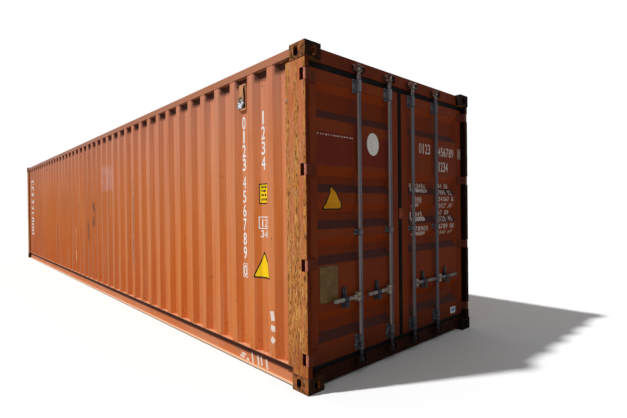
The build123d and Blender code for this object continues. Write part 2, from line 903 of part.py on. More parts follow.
# Handles: an eye on a pin between the hub plates, a tapered neck and a bar that leans out
def door_handle(side, across, bar_length):
    half_gap = rod_radius - hub_plate - handle_side_gap
    pivot_y = side * (across + handle_pivot)
    neck_y = side * (across + handle_taper)
    tip_y = side * (across + bar_length)
    neck = [
        (pivot_y, handle_level + handle_eye_radius),
        (side * (across + hub_plate_far), handle_level + handle_eye_height / 2),
        (neck_y, handle_level + handle_height / 2),
        (neck_y, handle_level - handle_height / 2),
        (side * (across + hub_plate_far), handle_level - handle_eye_height / 2),
        (pivot_y, handle_level - handle_eye_radius),
    ]
    lean = [
        (rod_x - half_gap, neck_y),
        (rod_x + half_gap, neck_y),
        (rod_x + half_gap + handle_tip_out, tip_y),
        (rod_x - half_gap + handle_tip_out, tip_y),
    ]
    with BuildPart() as handle:
        with BuildSketch(Plane.YZ.offset(rod_x - half_gap)):
            with Locations((pivot_y, handle_level)):
                Circle(handle_eye_radius)
            with BuildLine():
                Polyline(*neck, close=True)
            make_face()
        extrude(amount=2 * half_gap)
        with BuildSketch(Plane.XY.offset(handle_level - handle_height / 2)):
            with BuildLine():
                Polyline(*lean, close=True)
            make_face()
        extrude(amount=handle_height)
        tip = max(handle.faces(), key=lambda face: side * face.center().Y)
        fillet(tip.edges().filter_by(Axis.X), radius=handle_height / 2 - handle_side_gap)
        with BuildSketch(Plane.YZ.offset(rod_x - rod_radius)):
            with Locations((pivot_y, handle_level)):
                Circle(handle_pin_radius)
        extrude(amount=2 * rod_radius)
        with BuildSketch(Plane.YZ.offset(rod_front_x + handle_side_gap)):
            with Locations((pivot_y, handle_level)):
                Circle(pin_head_radius)
        extrude(amount=pin_head)
        with BuildSketch(Plane.YZ.offset(rod_front_x)):
            with Locations((pivot_y, handle_level)):
                Circle(handle_pin_radius)
        extrude(amount=handle_side_gap)
    return handle.part


# Rod brackets: bolted plates with a bearing that the rod turns in
def rod_brackets(side):
    with BuildPart() as brackets:
        for across in rod_spots:
            for level, tall, wide in zip(bracket_levels, bracket_heights, bracket_widths):
                with BuildSketch(Plane.YZ.offset(face_x)):
                    with Locations((side * across, level)):
                        RectangleRounded(wide, tall, bracket_round)
                extrude(amount=bracket_plate)
                bearing = tall * bearing_share
                with BuildSketch(Plane.XY.offset(level - bearing / 2)):
                    with Locations((face_x + rod_stand_off / 2, side * across)):
                        Rectangle(rod_stand_off, 2 * bearing_radius)
                    with Locations((rod_x, side * across)):
                        Circle(bearing_radius)
                        Circle(rod_radius + rod_clearance, mode=Mode.SUBTRACT)
                extrude(amount=bearing)
    return brackets.part


# Handle retainers: plate, shelf with a drilled lug under the handle, drilled ear behind it
def handle_retainers(side):
    shelf_high = handle_level - handle_height / 2 - shelf_gap
    shelf_low = shelf_high - shelf_thickness
    ear_x = panel_x + bracket_plate
    ear_round = ear_width / 2
    lug_round = shelf_width / 2
    with BuildPart() as retainers:
        for across in rod_spots:
            spot = side * (across + retainer_offset)
            with BuildSketch(Plane.YZ.offset(panel_x)):
                with Locations((spot, handle_level - retainer_drop + retainer_height / 2)):
                    RectangleRounded(retainer_width, retainer_height, bracket_round)
            extrude(amount=bracket_plate)
            with Locations((panel_x + shelf_reach / 2, spot, shelf_low + shelf_thickness / 2)):
                Box(shelf_reach, shelf_width, shelf_thickness)
            with BuildSketch(Plane.YZ.offset(panel_x + shelf_reach - shelf_thickness)):
                with Locations((spot, shelf_low - (lug_drop - lug_round) / 2)):
                    Rectangle(shelf_width, lug_drop - lug_round)
                with Locations((spot, shelf_low - lug_drop + lug_round)):
                    Circle(lug_round)
                    Circle(seal_hole_radius, mode=Mode.SUBTRACT)
            extrude(amount=shelf_thickness)
            with BuildSketch(Plane.YZ.offset(ear_x)):
                with Locations((spot, handle_level + (ear_rise - ear_round) / 2)):
                    Rectangle(ear_width, ear_rise - ear_round)
                with Locations((spot, handle_level + ear_rise - ear_round)):
                    Circle(ear_round)
                    Circle(seal_hole_radius, mode=Mode.SUBTRACT)
            extrude(amount=ear_thickness)
    return retainers.part


# Plates on the doors, both blank
def data_plate():
    with BuildPart() as plate:
        with BuildSketch(Plane.YZ.offset(panel_x)):
            with Locations((LEFT * data_plate_across, data_plate_level)):
                Rectangle(data_plate_width, data_plate_height)
        extrude(amount=data_plate_thickness)
    return plate.part


def centre_plate():
    with BuildPart() as plate:
        with BuildSketch(Plane.YZ.offset(face_x)):
            with Locations((centre_plate_across, centre_plate_level)):
                RectangleRounded(centre_plate_width, centre_plate_height, centre_plate_round)
        extrude(amount=centre_plate_thickness)
    return plate.part


def main():
    os.makedirs("parts", exist_ok=True)
    vent_index = wall_flats / 2 - vent_valley - 1
    vent_x = vent_index * wall_pitch
    save(corner_castings(height - casting_height, height), "corner_castings_top")
    save(corner_castings(0, 0), "corner_castings_bottom")
    save(roof(), "roof_panel")
    save(blind_wall(), "blind_end_wall")
    save(door_header(), "door_header")
    save(door_sill(), "door_sill")
    save(blind_header(), "blind_end_header")
    save(blind_sill(), "blind_end_sill")
    save(floor(), "floor_boards")
    save(cross_members(), "cross_members")
    save(gooseneck_tunnel(), "gooseneck_tunnel")
    save(ventilators(vent_x, -vent_x), "ventilators")
    save(cam_keepers(), "cam_keepers")
    save(data_plate(), "left_data_plate")
    save(centre_plate(), "right_centre_plate")
    leaves = (
        (LEFT, "left", leaf_inner_left, left_lip_y, vent_x, left_handle_length),
        (RIGHT, "right", leaf_inner_right, centre_slit - left_lip_y, -vent_x, right_handle_length),
    )
    for side, name, leaf_inner, lip_across, own_vent_x, bar_length in leaves:
        save(door_post(side), f"{name}_door_post")
        save(blind_post(side), f"{name}_blind_post")
        save(top_rail(side), f"{name}_top_rail")
        save(bottom_rail(side), f"{name}_bottom_rail")
        save(side_wall(side, own_vent_x), f"{name}_side_wall")
        save(door_frame(side, leaf_inner), f"{name}_door_frame")
        save(door_panel(side, leaf_inner), f"{name}_door_panel")
        save(door_seal(side, leaf_inner, lip_across), f"{name}_door_seal")
        save(door_hinges(side), f"{name}_door_hinges")
        save(rod_brackets(side), f"{name}_rod_brackets")
        save(handle_retainers(side), f"{name}_handle_retainers")
        for place, across in zip(("inner", "outer"), rod_spots):
            save(lock_rod(side, across), f"{name}_{place}_lock_rod")
            save(door_handle(side, across, bar_length), f"{name}_{place}_handle")


main()
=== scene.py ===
"""Looks of the shipping container: paint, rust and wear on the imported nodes, with the bolts,
welds, markings and torn ventilator added as pieces of their own. Lengths are in metres."""

import math
import random

import bmesh
import bpy
from mathutils import Matrix, Vector


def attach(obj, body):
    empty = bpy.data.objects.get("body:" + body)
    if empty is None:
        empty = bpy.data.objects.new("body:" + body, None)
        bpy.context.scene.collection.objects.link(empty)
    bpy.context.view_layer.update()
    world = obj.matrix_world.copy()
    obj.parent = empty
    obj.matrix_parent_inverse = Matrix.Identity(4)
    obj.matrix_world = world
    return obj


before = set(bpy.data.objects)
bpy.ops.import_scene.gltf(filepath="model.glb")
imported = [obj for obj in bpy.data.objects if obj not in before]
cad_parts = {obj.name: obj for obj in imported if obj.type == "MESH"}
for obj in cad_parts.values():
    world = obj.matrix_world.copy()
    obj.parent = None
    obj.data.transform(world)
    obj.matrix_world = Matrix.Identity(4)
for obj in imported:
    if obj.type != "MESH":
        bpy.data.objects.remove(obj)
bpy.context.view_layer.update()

LEFT = -1
RIGHT = 1
SIDES = {LEFT: "left", RIGHT: "right"}
BODY = "container"
DOORS = {LEFT: "left_door", RIGHT: "right_door"}
LEFT_OUT = Vector((0.0, -1.0, 0.0))
DOOR_OUT = Vector((1.0, 0.0, 0.0))
UP = Vector((0.0, 0.0, 1.0))

# Sockets of a Mix node that mixes colours
MIX_SHARE = 0
MIX_FIRST = 6
MIX_SECOND = 7
MIX_RESULT = 2

# The photograph's camera, fitted to the castings, hinges and rails
CAMERA_SPOT = Vector((8.3157, -3.1913, 1.3755))
CAMERA_YAW = math.radians(137.3856)
CAMERA_PITCH = math.radians(-0.3162)
CAMERA_ROLL = math.radians(-0.6323)
PHOTO_WIDTH = 627
FOCAL_PIXELS = 410.97
SENSOR = 36.0
CAMERA_REACH = 200.0

# Light: a high key from the left wall's side and behind, a dim even sky, a pale floor
KEY_FROM = Vector((-0.56, -1.0, 1.57))
KEY_STRENGTH = 3.8
KEY_SPREAD = math.radians(2.5)
SKY_STRENGTH = 0.35
FLOOR_SHOWN = 0.8
FLOOR_BOUNCE = 0.3
FLOOR_REACH = 60.0

# Side walls, lower rails' webs and door posts, as the part has them
WALL_CREST_Y = 1.213
WALL_VALLEY_Y = 1.177
WALL_FIRST_CREST = 5.665
WALL_PITCH = 0.28325
CREST_HALF = 0.036
CREST_SLOPE = 0.068
WALL_END = 5.86
WALL_LOW = 0.17
WALL_HIGH = 2.507
RAIL_WEB_Y = 1.1715
POST_X = 5.854

# Lengths of the sheets that the walls and the floor are made of
WALL_SHEET = 1.109
FLOOR_SHEET = 1.22

# Levels at which the wall's colours were matched
WALL_LEVELS = (0.1, 0.6, 1.3, 1.95, 2.4)

# Door faces, as the part has them
LAND_X = 6.035
STILE_X = 6.038
RECESS_DEPTH = 0.036
RECESS_SLOPE = 0.068
RECESS_END_SLOPE = 0.046
RECESS_INNER = 0.13
RECESS_OUTER = 1.058
STILE_Y = 1.062
PANEL_LOW = 0.328
PANEL_HIGH = 2.343
RECESSES = ((0.3319, 0.561), (0.925, 1.127), (1.199, 1.4001), (1.486, 1.684), (2.0581, 2.3391))
ROD_SPOTS = (0.17848, 0.59501)
ROD_X = 6.066
HUB_OFFSET = 0.037
CAM_LEVEL = 2.462
HANDLE_LEVEL = 0.63205
RETAINER_OFFSET = 0.182
BRACKET_LEVELS = (0.25005, 1.1631, 2.36998)
BRACKET_SIZES = ((0.108, 0.13), (0.1, 0.046), (0.108, 0.114))
BRACKET_FACE = 6.044
CENTRE_PLATE_LEVEL = 1.305

# Torn metal of the ventilator: where its grid of crumples starts, its step and count, the coat's thickness
TORN_X = 5.17
TORN_LEVEL = 2.245
TORN_STEP = 0.008
TORN_COUNT = 400
TORN_COAT = 0.0012

# Marks: lift off the paint, thickness, weight and narrowing of digits, the share of a patch
# that lies inside its edge, and how near two corners are joined
LIFT = 0.0001
COAT = 0.0005
GLYPH_WEIGHT = 0.012
NARROW = {"1": 0.42}
FILM_SHARE = 0.84
SAME_CORNER = 0.00001


def rgb(red, green, blue):
    """A colour written as it looks on screen, 0 to 255, turned into linear light."""
    linear = []
    for value in (red, green, blue):
        share = value / 255
        low = share / 12.92
        high = ((share + 0.055) / 1.055) ** 2.4
        linear.append(low if share <= 0.04045 else high)
    return (*linear, 1.0)


class Surface:
    """A node material, built from small steps: most return a socket, and coats go on its colour."""

    def __init__(self, name):
        self.material = bpy.data.materials.new(name)
        self.material.use_nodes = True
        self.tree = self.material.node_tree
        self.shader = self.tree.nodes["Principled BSDF"]
        self.place = self.tree.nodes.new("ShaderNodeTexCoord").outputs["Object"]
        self.colour = None

    def node(self, kind):
        return self.tree.nodes.new(kind)

    def feed(self, socket, value):
        if isinstance(value, bpy.types.NodeSocket):
            self.tree.links.new(value, socket)
        else:
            socket.default_value = value

    def stretched(self, stretch):
        """The place on the part, each axis scaled by its own number; a lone number scales Z."""
        if stretch is None:
            return self.place
        if isinstance(stretch, float):
            stretch = (1.0, 1.0, stretch)
        mapping = self.node("ShaderNodeMapping")
        self.feed(mapping.inputs["Vector"], self.place)
        mapping.inputs["Scale"].default_value = stretch
        return mapping.outputs["Vector"]

    def noise(self, scale, detail=4.0, rough=0.55, stretch=None, twist=0.0):
        texture = self.node("ShaderNodeTexNoise")
        self.feed(texture.inputs["Vector"], self.stretched(stretch))
        texture.inputs["Scale"].default_value = scale
        texture.inputs["Detail"].default_value = detail
        texture.inputs["Roughness"].default_value = rough
        texture.inputs["Distortion"].default_value = twist
        return texture.outputs["Fac"]

    def cells(self, scale, stretch=None):
        texture = self.node("ShaderNodeTexVoronoi")
        self.feed(texture.inputs["Vector"], self.stretched(stretch))
        texture.inputs["Scale"].default_value = scale
        return texture.outputs["Distance"]

    def band(self, value, low, high, start=0.0, end=1.0):
        """Map low..high of a value onto start..end, held flat outside it."""
        span = self.node("ShaderNodeMapRange")
        self.feed(span.inputs["Value"], value)
        for key, number in (("From Min", low), ("From Max", high), ("To Min", start), ("To Max", end)):
            span.inputs[key].default_value = number
        return span.outputs["Result"]

    def sum(self, kind, first, second=0.0):
        maths = self.node("ShaderNodeMath")
        maths.operation = kind
        self.feed(maths.inputs[0], first)
        self.feed(maths.inputs[1], second)
        return maths.outputs[0]

    def times(self, *values):
        result = values[0]
        for value in values[1:]:
            result = self.sum("MULTIPLY", result, value)
        return result

    def most(self, *values):
        result = values[0]
        for value in values[1:]:
            result = self.sum("MAXIMUM", result, value)
        return result

    def axis(self, name):
        parts = self.node("ShaderNodeSeparateXYZ")
        self.feed(parts.inputs[0], self.place)
        return parts.outputs[name]

    def facing(self, name):
        """How far the flat surface faces along one axis of the part, -1 to 1."""
        geometry = self.node("ShaderNodeNewGeometry")
        turn = self.node("ShaderNodeVectorTransform")
        turn.vector_type = "NORMAL"
        turn.convert_from = "WORLD"
        turn.convert_to = "OBJECT"
        self.feed(turn.inputs[0], geometry.outputs["True Normal"])
        parts = self.node("ShaderNodeSeparateXYZ")
        self.feed(parts.inputs[0], turn.outputs[0])
        return parts.outputs[name]

    def window(self, name, low, high, soft):
        """1 between two places on an axis, fading to 0 outside them."""
        place = self.axis(name)
        rise = self.band(place, low - soft, low + soft)
        fall = self.band(place, high - soft, high + soft, 1.0, 0.0)
        return self.times(rise, fall)

    def patch(self, name, low, high, soft, bottom, top, soft_up):
        """A patch between two places across and two levels."""
        return self.times(self.window(name, low, high, soft), self.window("Z", bottom, top, soft_up))

    def sheet_tint(self, length):
        """A number of its own for each sheet along the container, 0 to 1."""
        tint = self.node("ShaderNodeTexWhiteNoise")
        tint.noise_dimensions = "1D"
        self.feed(tint.inputs["W"], self.sum("FLOOR", self.sum("DIVIDE", self.axis("X"), length)))
        return tint.outputs["Value"]

    def mix(self, share, first, second):
        mixer = self.node("ShaderNodeMix")
        mixer.data_type = "RGBA"
        self.feed(mixer.inputs[MIX_SHARE], share)
        self.feed(mixer.inputs[MIX_FIRST], first)
        self.feed(mixer.inputs[MIX_SECOND], second)
        return mixer.outputs[MIX_RESULT]

    def blend(self, value, low, high, first, second):
        """The first colour where a value is low, turning to the second where it is high."""
        return self.mix(self.band(value, low, high), first, second)

    def coat(self, share, colour, strength=None):
        """Lay a share of a colour over the colour so far."""
        if strength is not None:
            share = self.times(share, strength)
        self.colour = self.mix(share, self.colour, colour)

    def ramp(self, value, *stops):
        """A colour that changes along a value, through (place, colour) stops."""
        result = stops[0][1]
        for (low, _), (high, colour) in zip(stops, stops[1:]):
            result = self.blend(value, low, high, result, colour)
        return result

    def up_wall(self, *colours):
        """The colour at each of the wall's levels, written as for rgb."""
        stops = [(level, rgb(*colour)) for level, colour in zip(WALL_LEVELS, colours)]
        return self.ramp(self.axis("Z"), *stops)

    def bump(self, height, distance, strength=1.0, under=None):
        node = self.node("ShaderNodeBump")
        node.inputs["Strength"].default_value = strength
        node.inputs["Distance"].default_value = distance
        self.feed(node.inputs["Height"], height)
        if under is not None:
            self.feed(node.inputs["Normal"], under)
        return node.outputs["Normal"]

    def finish(self, roughness, normal=None, metallic=0.0, specular=None):
        self.feed(self.shader.inputs["Base Color"], self.colour)
        self.feed(self.shader.inputs["Roughness"], roughness)
        self.feed(self.shader.inputs["Metallic"], metallic)
        if specular is not None:
            self.shader.inputs["Specular IOR Level"].default_value = specular
        if normal is not None:
            self.feed(self.shader.inputs["Normal"], normal)
        return self.material


# Colours, as they look in plain light
RUST_DARK = rgb(74, 38, 22)
RUST_MID = rgb(126, 66, 30)
CHALK = rgb(222, 172, 140)
GRIME = rgb(46, 26, 18)


def side_paint():
    """Walls, blind end and roof: sun-faded paint, paler high up, scraped, with rust low down. The paler
    colour on all faces but the slopes towards the doors is partly a painted sheen, and there is painted
    shadow under the top rail.
    """
    s = Surface("side_paint")
    height = s.axis("Z")
    patches = s.band(s.noise(0.9, 5.0, stretch=0.5), 0.35, 0.65)
    streaks = s.noise(7.0, 6.0, 0.6, stretch=(3.0, 3.0, 0.12))
    fine = s.noise(60.0, 4.0, 0.6, stretch=0.25)
    open_face = s.up_wall((211, 119, 56), (214, 125, 61), (211, 128, 76), (205, 122, 75), (205, 129, 95))
    in_valley = s.up_wall((206, 113, 52), (207, 115, 54), (214, 128, 75), (215, 134, 90), (209, 132, 96))
    depth = s.sum("ABSOLUTE", s.axis("Y"))
    valley = s.band(depth, WALL_CREST_Y - 0.003, WALL_VALLEY_Y + 0.004)
    open_face = s.mix(valley, open_face, in_valley)
    # Away from the doors the walls are chalky high up, and browner lower down towards the blind end
    paler = s.times(s.band(s.axis("X"), 5.3, 3.6, 0.0, 0.3), s.band(height, 1.4, 2.0))
    open_face = s.mix(paler, open_face, rgb(214, 146, 118))
    browner = s.times(s.band(s.axis("X"), 2.8, 0.3, 0.0, 0.95), s.band(height, 2.4, 1.5))
    open_face = s.mix(browner, open_face, rgb(174, 94, 42))
    open_face = s.mix(s.band(s.axis("X"), -3.4, -5.6, 0.0, 0.6), open_face, rgb(160, 82, 48))
    # Slopes that look towards the doors get a deeper, more saturated colour; the paler colour on the other
    # faces is partly a painted sheen
    unsheened_slope = s.up_wall((207, 100, 33), (211, 106, 36), (215, 117, 48), (214, 125, 75), (197, 123, 92))
    s.colour = s.blend(s.facing("X"), 0.15, 0.4, open_face, unsheened_slope)
    s.coat(s.times(0.1, patches), rgb(134, 132, 132))
    s.coat(s.band(streaks, 0.5, 0.72, 0.0, 0.3), rgb(176, 84, 38))
    s.coat(s.band(streaks, 0.46, 0.28, 0.0, 0.28), CHALK)
    s.coat(s.band(fine, 0.62, 0.78, 0.0, 0.3), rgb(232, 182, 146))
    # Each wall is welded from sheets that have faded a little differently
    s.coat(s.band(s.sheet_tint(WALL_SHEET), 0.0, 1.0, 0.0, 0.14), rgb(182, 92, 50))
    # Faded patch high on the left wall, where something was once painted
    patch = s.times(
        s.patch("X", 1.109, 1.704, 0.03, 1.672, 2.07, 0.03),
        s.band(s.noise(9.0, 3.0), 0.35, 0.55, 0.25, 0.75),
        s.band(s.facing("Y"), -0.6, -0.95),
    )
    s.coat(patch, rgb(212, 152, 140))
    # Scrapes on the crests, worst half way along
    scrape_lines = s.cells(9.0, stretch=(1.6, 0.4, 0.16))
    worst = s.most(s.window("X", -1.6, 3.2, 1.2), 0.35)
    scrape = s.times(
        s.band(scrape_lines, 0.055, 0.02),
        s.band(s.noise(2.2, 4.0), 0.52, 0.62),
        worst,
    )
    s.coat(scrape, s.blend(fine, 0.4, 0.6, rgb(110, 96, 88), rgb(216, 170, 140)))
    # Knocks and rubs half way along the left wall
    left_wall = s.band(s.axis("Y"), 0.5, -0.5)
    knocks = s.most(
        s.patch("X", 0.585, 0.65, 0.02, 1.09, 1.5, 0.05),
        s.patch("X", 0.265, 0.325, 0.02, 0.84, 1.16, 0.05),
    )
    ragged = s.band(s.noise(16.0, 6.0, 0.65, stretch=0.35), 0.46, 0.54)
    s.coat(s.times(knocks, ragged, left_wall, 0.8), rgb(74, 66, 60))
    rubs = s.most(
        s.patch("X", -0.375, -0.315, 0.01, 0.7, 1.75, 0.1),
        s.patch("X", -0.085, -0.025, 0.01, 1.0, 1.85, 0.1),
        s.patch("X", -0.59, -0.53, 0.01, 0.35, 1.0, 0.1),
    )
    s.coat(s.times(rubs, ragged, left_wall, 0.8), rgb(224, 184, 144))
    graze = s.times(s.patch("X", 2.528, 2.562, 0.008, 0.62, 1.75, 0.12), left_wall)
    broken = s.band(s.noise(16.0, 6.0, 0.65, stretch=0.35), 0.42, 0.5)
    s.coat(s.times(graze, broken, 0.9), rgb(112, 100, 88))
    # Rust spots along the bottom and in a few knocks
    low_rust = s.times(
        s.band(height, 0.5, 0.17),
        s.band(s.noise(26.0, 6.0, 0.7), 0.58, 0.7),
    )
    spots = s.times(s.band(s.noise(5.0, 6.0, 0.7), 0.66, 0.74), s.band(s.noise(40.0, 3.0), 0.5, 0.6))
    rust = s.most(low_rust, spots)
    s.coat(rust, s.blend(fine, 0.4, 0.6, RUST_DARK, RUST_MID))
    # Painted shadow under the top rail, on the valleys and slopes
    sideways = s.band(s.sum("ABSOLUTE", s.facing("Y")), 0.3, 0.5)
    rail_shadow = s.times(s.band(height, 2.41, 2.45), s.band(depth, 1.21, 1.198), sideways)
    s.coat(rail_shadow, rgb(66, 26, 14), 0.92)
    # The roof is bleached and dusty, with rust where water stands
    dusty = s.blend(patches, 0.2, 0.8, rgb(178, 112, 84), rgb(198, 142, 116))
    pools = s.band(s.noise(3.2, 7.0, 0.68), 0.56, 0.66, 0.0, 0.8)
    dusty = s.mix(pools, dusty, s.blend(fine, 0.4, 0.6, rgb(122, 66, 40), rgb(158, 96, 62)))
    s.coat(s.band(s.facing("Z"), 0.6, 0.8), dusty)
    rough = s.band(streaks, 0.3, 0.7, 0.46, 0.62)
    dents = s.bump(s.noise(1.7, 2.0), 0.012, 0.55)
    grain = s.bump(s.noise(240.0, 2.0), 0.0006, 0.25, dents)
    return s.finish(rough, grain, specular=0.14)


def rail_paint():
    """Long rails: the upper ones faded pink-brown, the lower ones chalky, with painted shadow on the web
    under the flange.
    """
    s = Surface("rail_paint")
    fine = s.noise(70.0, 5.0, 0.65)
    wide = s.noise(2.4, 5.0, 0.6, stretch=(0.5, 1.0, 1.0))
    height = s.axis("Z")
    top = s.ramp(s.axis("X"), (-3.0, rgb(162, 108, 96)), (5.0, rgb(174, 106, 70)))
    top = s.mix(s.band(wide, 0.36, 0.66, 0.0, 0.5), top, rgb(186, 132, 108))
    low = s.blend(wide, 0.38, 0.62, rgb(200, 112, 64), rgb(204, 128, 88))
    # The web is painted dark under its flange: painted shadow of the flange
    under = s.times(s.band(height, 0.085, 0.112), s.band(s.sum("ABSOLUTE", s.axis("Y")), 1.19, 1.172))
    low = s.mix(s.times(under, 0.9), low, rgb(70, 25, 12))
    s.colour = s.blend(height, 1.0, 1.2, low, top)
    wear = s.band(s.noise(14.0, 6.0, 0.7, stretch=(0.35, 1.0, 1.0)), 0.6, 0.7)
    s.coat(wear, s.blend(fine, 0.4, 0.6, rgb(122, 104, 82), rgb(158, 88, 48)), 0.8)
    ledge = s.times(s.band(s.facing("Z"), 0.8, 0.95), s.band(fine, 0.3, 0.55, 0.2, 0.8))
    s.coat(ledge, rgb(206, 150, 114))
    lip = s.times(s.band(height, 0.02, 0.0165), s.band(fine, 0.32, 0.6, 0.3, 0.95))
    s.coat(lip, rgb(218, 190, 158))
    edge = s.times(s.window("Z", 0.1648, 0.169, 0.0006), s.band(s.facing("Y"), -0.5, -0.9))
    s.coat(edge, rgb(136, 104, 84), 0.7)
    return s.finish(0.6, s.bump(fine, 0.0012, 0.35), specular=0.25)


def end_frame_paint():
    """Headers and sills: dull red-brown, the sill nearly black."""
    s = Surface("end_frame_paint")
    fine = s.noise(60.0, 5.0, 0.65)
    wide = s.noise(3.0, 5.0)
    height = s.axis("Z")
    s.colour = s.blend(wide, 0.38, 0.62, rgb(108, 43, 23), rgb(122, 52, 28))
    low = s.blend(fine, 0.42, 0.62, rgb(38, 19, 14), rgb(64, 30, 20))
    low = s.mix(s.band(s.noise(9.0, 6.0, 0.7), 0.58, 0.68, 0.0, 0.5), low, rgb(80, 54, 36))
    drips = s.band(s.noise(22.0, 6.0, 0.65, stretch=0.05), 0.56, 0.68, 0.0, 0.6)
    s.coat(drips, rgb(70, 28, 20))
    s.coat(s.band(height, 0.3, 0.18), low)
    chips = s.times(s.band(s.noise(22.0, 6.0, 0.7), 0.63, 0.7), 0.6)
    s.coat(chips, s.blend(height, 0.3, 0.18, RUST_MID, RUST_DARK))
    return s.finish(0.62, s.bump(fine, 0.001, 0.4), specular=0.08)


def post_paint():
    """Paint eaten through by rust: ochre lanes with dark and pale flecks, and strips of paint left."""
    s = Surface("post_paint")
    out = s.sum("ABSOLUTE", s.axis("X"))
    height = s.axis("Z")
    streak = s.noise(42.0, 8.0, 0.68, stretch=0.1)
    broad = s.noise(9.0, 6.0, 0.6, stretch=0.3)
    flecks = s.noise(84.0, 7.0, 0.72, stretch=0.19)
    pale = s.noise(96.0, 6.0, 0.7, stretch=0.13)
    paint = s.blend(broad, 0.4, 0.6, rgb(186, 106, 62), rgb(196, 124, 84))
    paint = s.mix(s.band(pale, 0.56, 0.66, 0.0, 0.5), paint, rgb(222, 164, 118))
    scale = s.ramp(streak, (0.36, rgb(136, 82, 38)), (0.48, rgb(184, 116, 58)), (0.62, rgb(208, 142, 74)))
    scale = s.mix(s.band(pale, 0.57, 0.64, 0.0, 0.8), scale, rgb(226, 190, 130))
    # Rust took the paint in upright lanes first, and then most of it low down
    lanes = s.times(s.sum("SINE", s.times(s.sum("SUBTRACT", out, POST_X), 60.0)), 0.065)
    eaten_low = s.band(height, 2.0, 0.3, 0.0, 0.13)
    amount = s.sum("ADD", s.times(streak, 0.6), s.times(broad, 0.4))
    amount = s.sum("ADD", amount, s.sum("ADD", lanes, eaten_low))
    eaten = s.band(amount, 0.5, 0.55)
    s.colour = s.mix(eaten, paint, scale)
    dark = s.times(s.band(flecks, 0.535, 0.585), s.band(amount, 0.46, 0.54))
    s.coat(dark, rgb(82, 46, 24), 0.9)
    bare = s.times(s.band(s.noise(24.0, 6.0, 0.65), 0.64, 0.69), eaten)
    s.coat(bare, rgb(176, 168, 156), 0.8)
    low_red = s.times(s.band(height, 0.55, 0.2, 0.0, 0.6), s.band(broad, 0.42, 0.58))
    s.coat(low_red, rgb(152, 76, 42))
    # The front is in the lee of the side and keeps dark paint; on the right post it is darker still, which is
    # painted shade
    facing = s.facing("X")
    depth = s.sum("ABSOLUTE", s.axis("Y"))
    shade = s.blend(streak, 0.45, 0.62, rgb(92, 32, 13), rgb(118, 47, 20))
    shade = s.blend(s.axis("Y"), 0.0, 1.0, shade, rgb(42, 22, 17))
    s.coat(s.band(facing, 0.5, 0.9), shade)
    # Deep faces of the slot and the jamb are near black: painted shade
    hollow_shade = s.times(s.band(depth, 1.214, 1.206), s.band(facing, 0.9, 0.5))
    s.coat(hollow_shade, rgb(30, 13, 9))
    relief = s.sum("ADD", s.times(eaten, 0.6), s.times(streak, 0.7))
    normal = s.bump(s.sum("SUBTRACT", relief, dark), 0.003, 0.6)
    return s.finish(s.band(eaten, 0.0, 1.0, 0.55, 0.85), normal, specular=0.08)


def casting_steel():
    """Rusty castings with some paint left, grimy on the front and on faces turned inwards, with painted shade
    darkening the right castings.
    """
    s = Surface("casting_steel")
    lumps = s.noise(26.0, 7.0, 0.65)
    fine = s.noise(120.0, 5.0, 0.7)
    s.colour = s.blend(lumps, 0.42, 0.58, rgb(80, 46, 24), rgb(150, 98, 54))
    s.coat(s.band(fine, 0.55, 0.7, 0.0, 0.8), rgb(58, 36, 24))
    paint = s.band(s.noise(9.0, 5.0, 0.6), 0.54, 0.58)
    s.coat(paint, rgb(166, 94, 54), 0.75)
    front = s.band(s.facing("X"), 0.5, 0.9)
    grimy = s.blend(lumps, 0.4, 0.6, rgb(42, 25, 16), rgb(68, 40, 25))
    upper = s.blend(lumps, 0.4, 0.6, rgb(34, 19, 13), rgb(54, 30, 20))
    grimy = s.blend(s.axis("Z"), 1.0, 2.0, grimy, upper)
    # On the right castings the grimy colour is darker still: painted shade
    grimy = s.mix(s.band(s.axis("Y"), 0.0, 1.0, 0.0, 0.8), grimy, rgb(24, 16, 14))
    inward = s.band(s.sum("MULTIPLY", s.facing("Y"), s.axis("Y")), -0.2, -0.6)
    ledge = s.times(s.band(s.facing("Z"), 0.5, 0.8), s.band(s.axis("Z"), 1.0, 0.5))
    s.coat(s.most(front, s.most(inward, ledge)), grimy)
    normal = s.bump(s.sum("ADD", lumps, s.times(fine, 0.4)), 0.004, 0.55)
    return s.finish(0.8, normal, specular=0.08)


def under_paint():
    s = Surface("under_paint")
    tone = s.noise(8.0, 6.0, 0.65)
    s.colour = s.blend(tone, 0.4, 0.6, rgb(44, 38, 34), rgb(74, 60, 48))
    s.coat(s.band(s.noise(30.0, 5.0, 0.7), 0.6, 0.68), RUST_MID)
    return s.finish(0.8, s.bump(tone, 0.002, 0.5))


def floor_wood():
    """Plywood sheets across the floor, grain along the container, with dark joints and scuffs."""
    s = Surface("floor_wood")
    grain = s.noise(14.0, 8.0, 0.6, stretch=(0.25, 6.0, 6.0), twist=0.4)
    s.colour = s.blend(grain, 0.35, 0.65, rgb(112, 76, 48), rgb(160, 116, 76))
    s.coat(s.band(s.sheet_tint(FLOOR_SHEET), 0.0, 1.0, 0.0, 0.35), rgb(98, 66, 46))
    along = s.sum("FRACT", s.sum("DIVIDE", s.axis("X"), FLOOR_SHEET))
    joint = s.sum("ABSOLUTE", s.sum("SUBTRACT", along, 0.5))
    gap = s.band(joint, 0.4965, 0.4985)
    s.coat(gap, rgb(34, 24, 18))
    scuffs = s.band(s.noise(3.0, 7.0, 0.7, stretch=(0.4, 2.0, 1.0)), 0.56, 0.66)
    s.coat(scuffs, rgb(64, 48, 38), 0.6)
    return s.finish(0.75, s.bump(s.sum("SUBTRACT", grain, gap), 0.0015, 0.5))


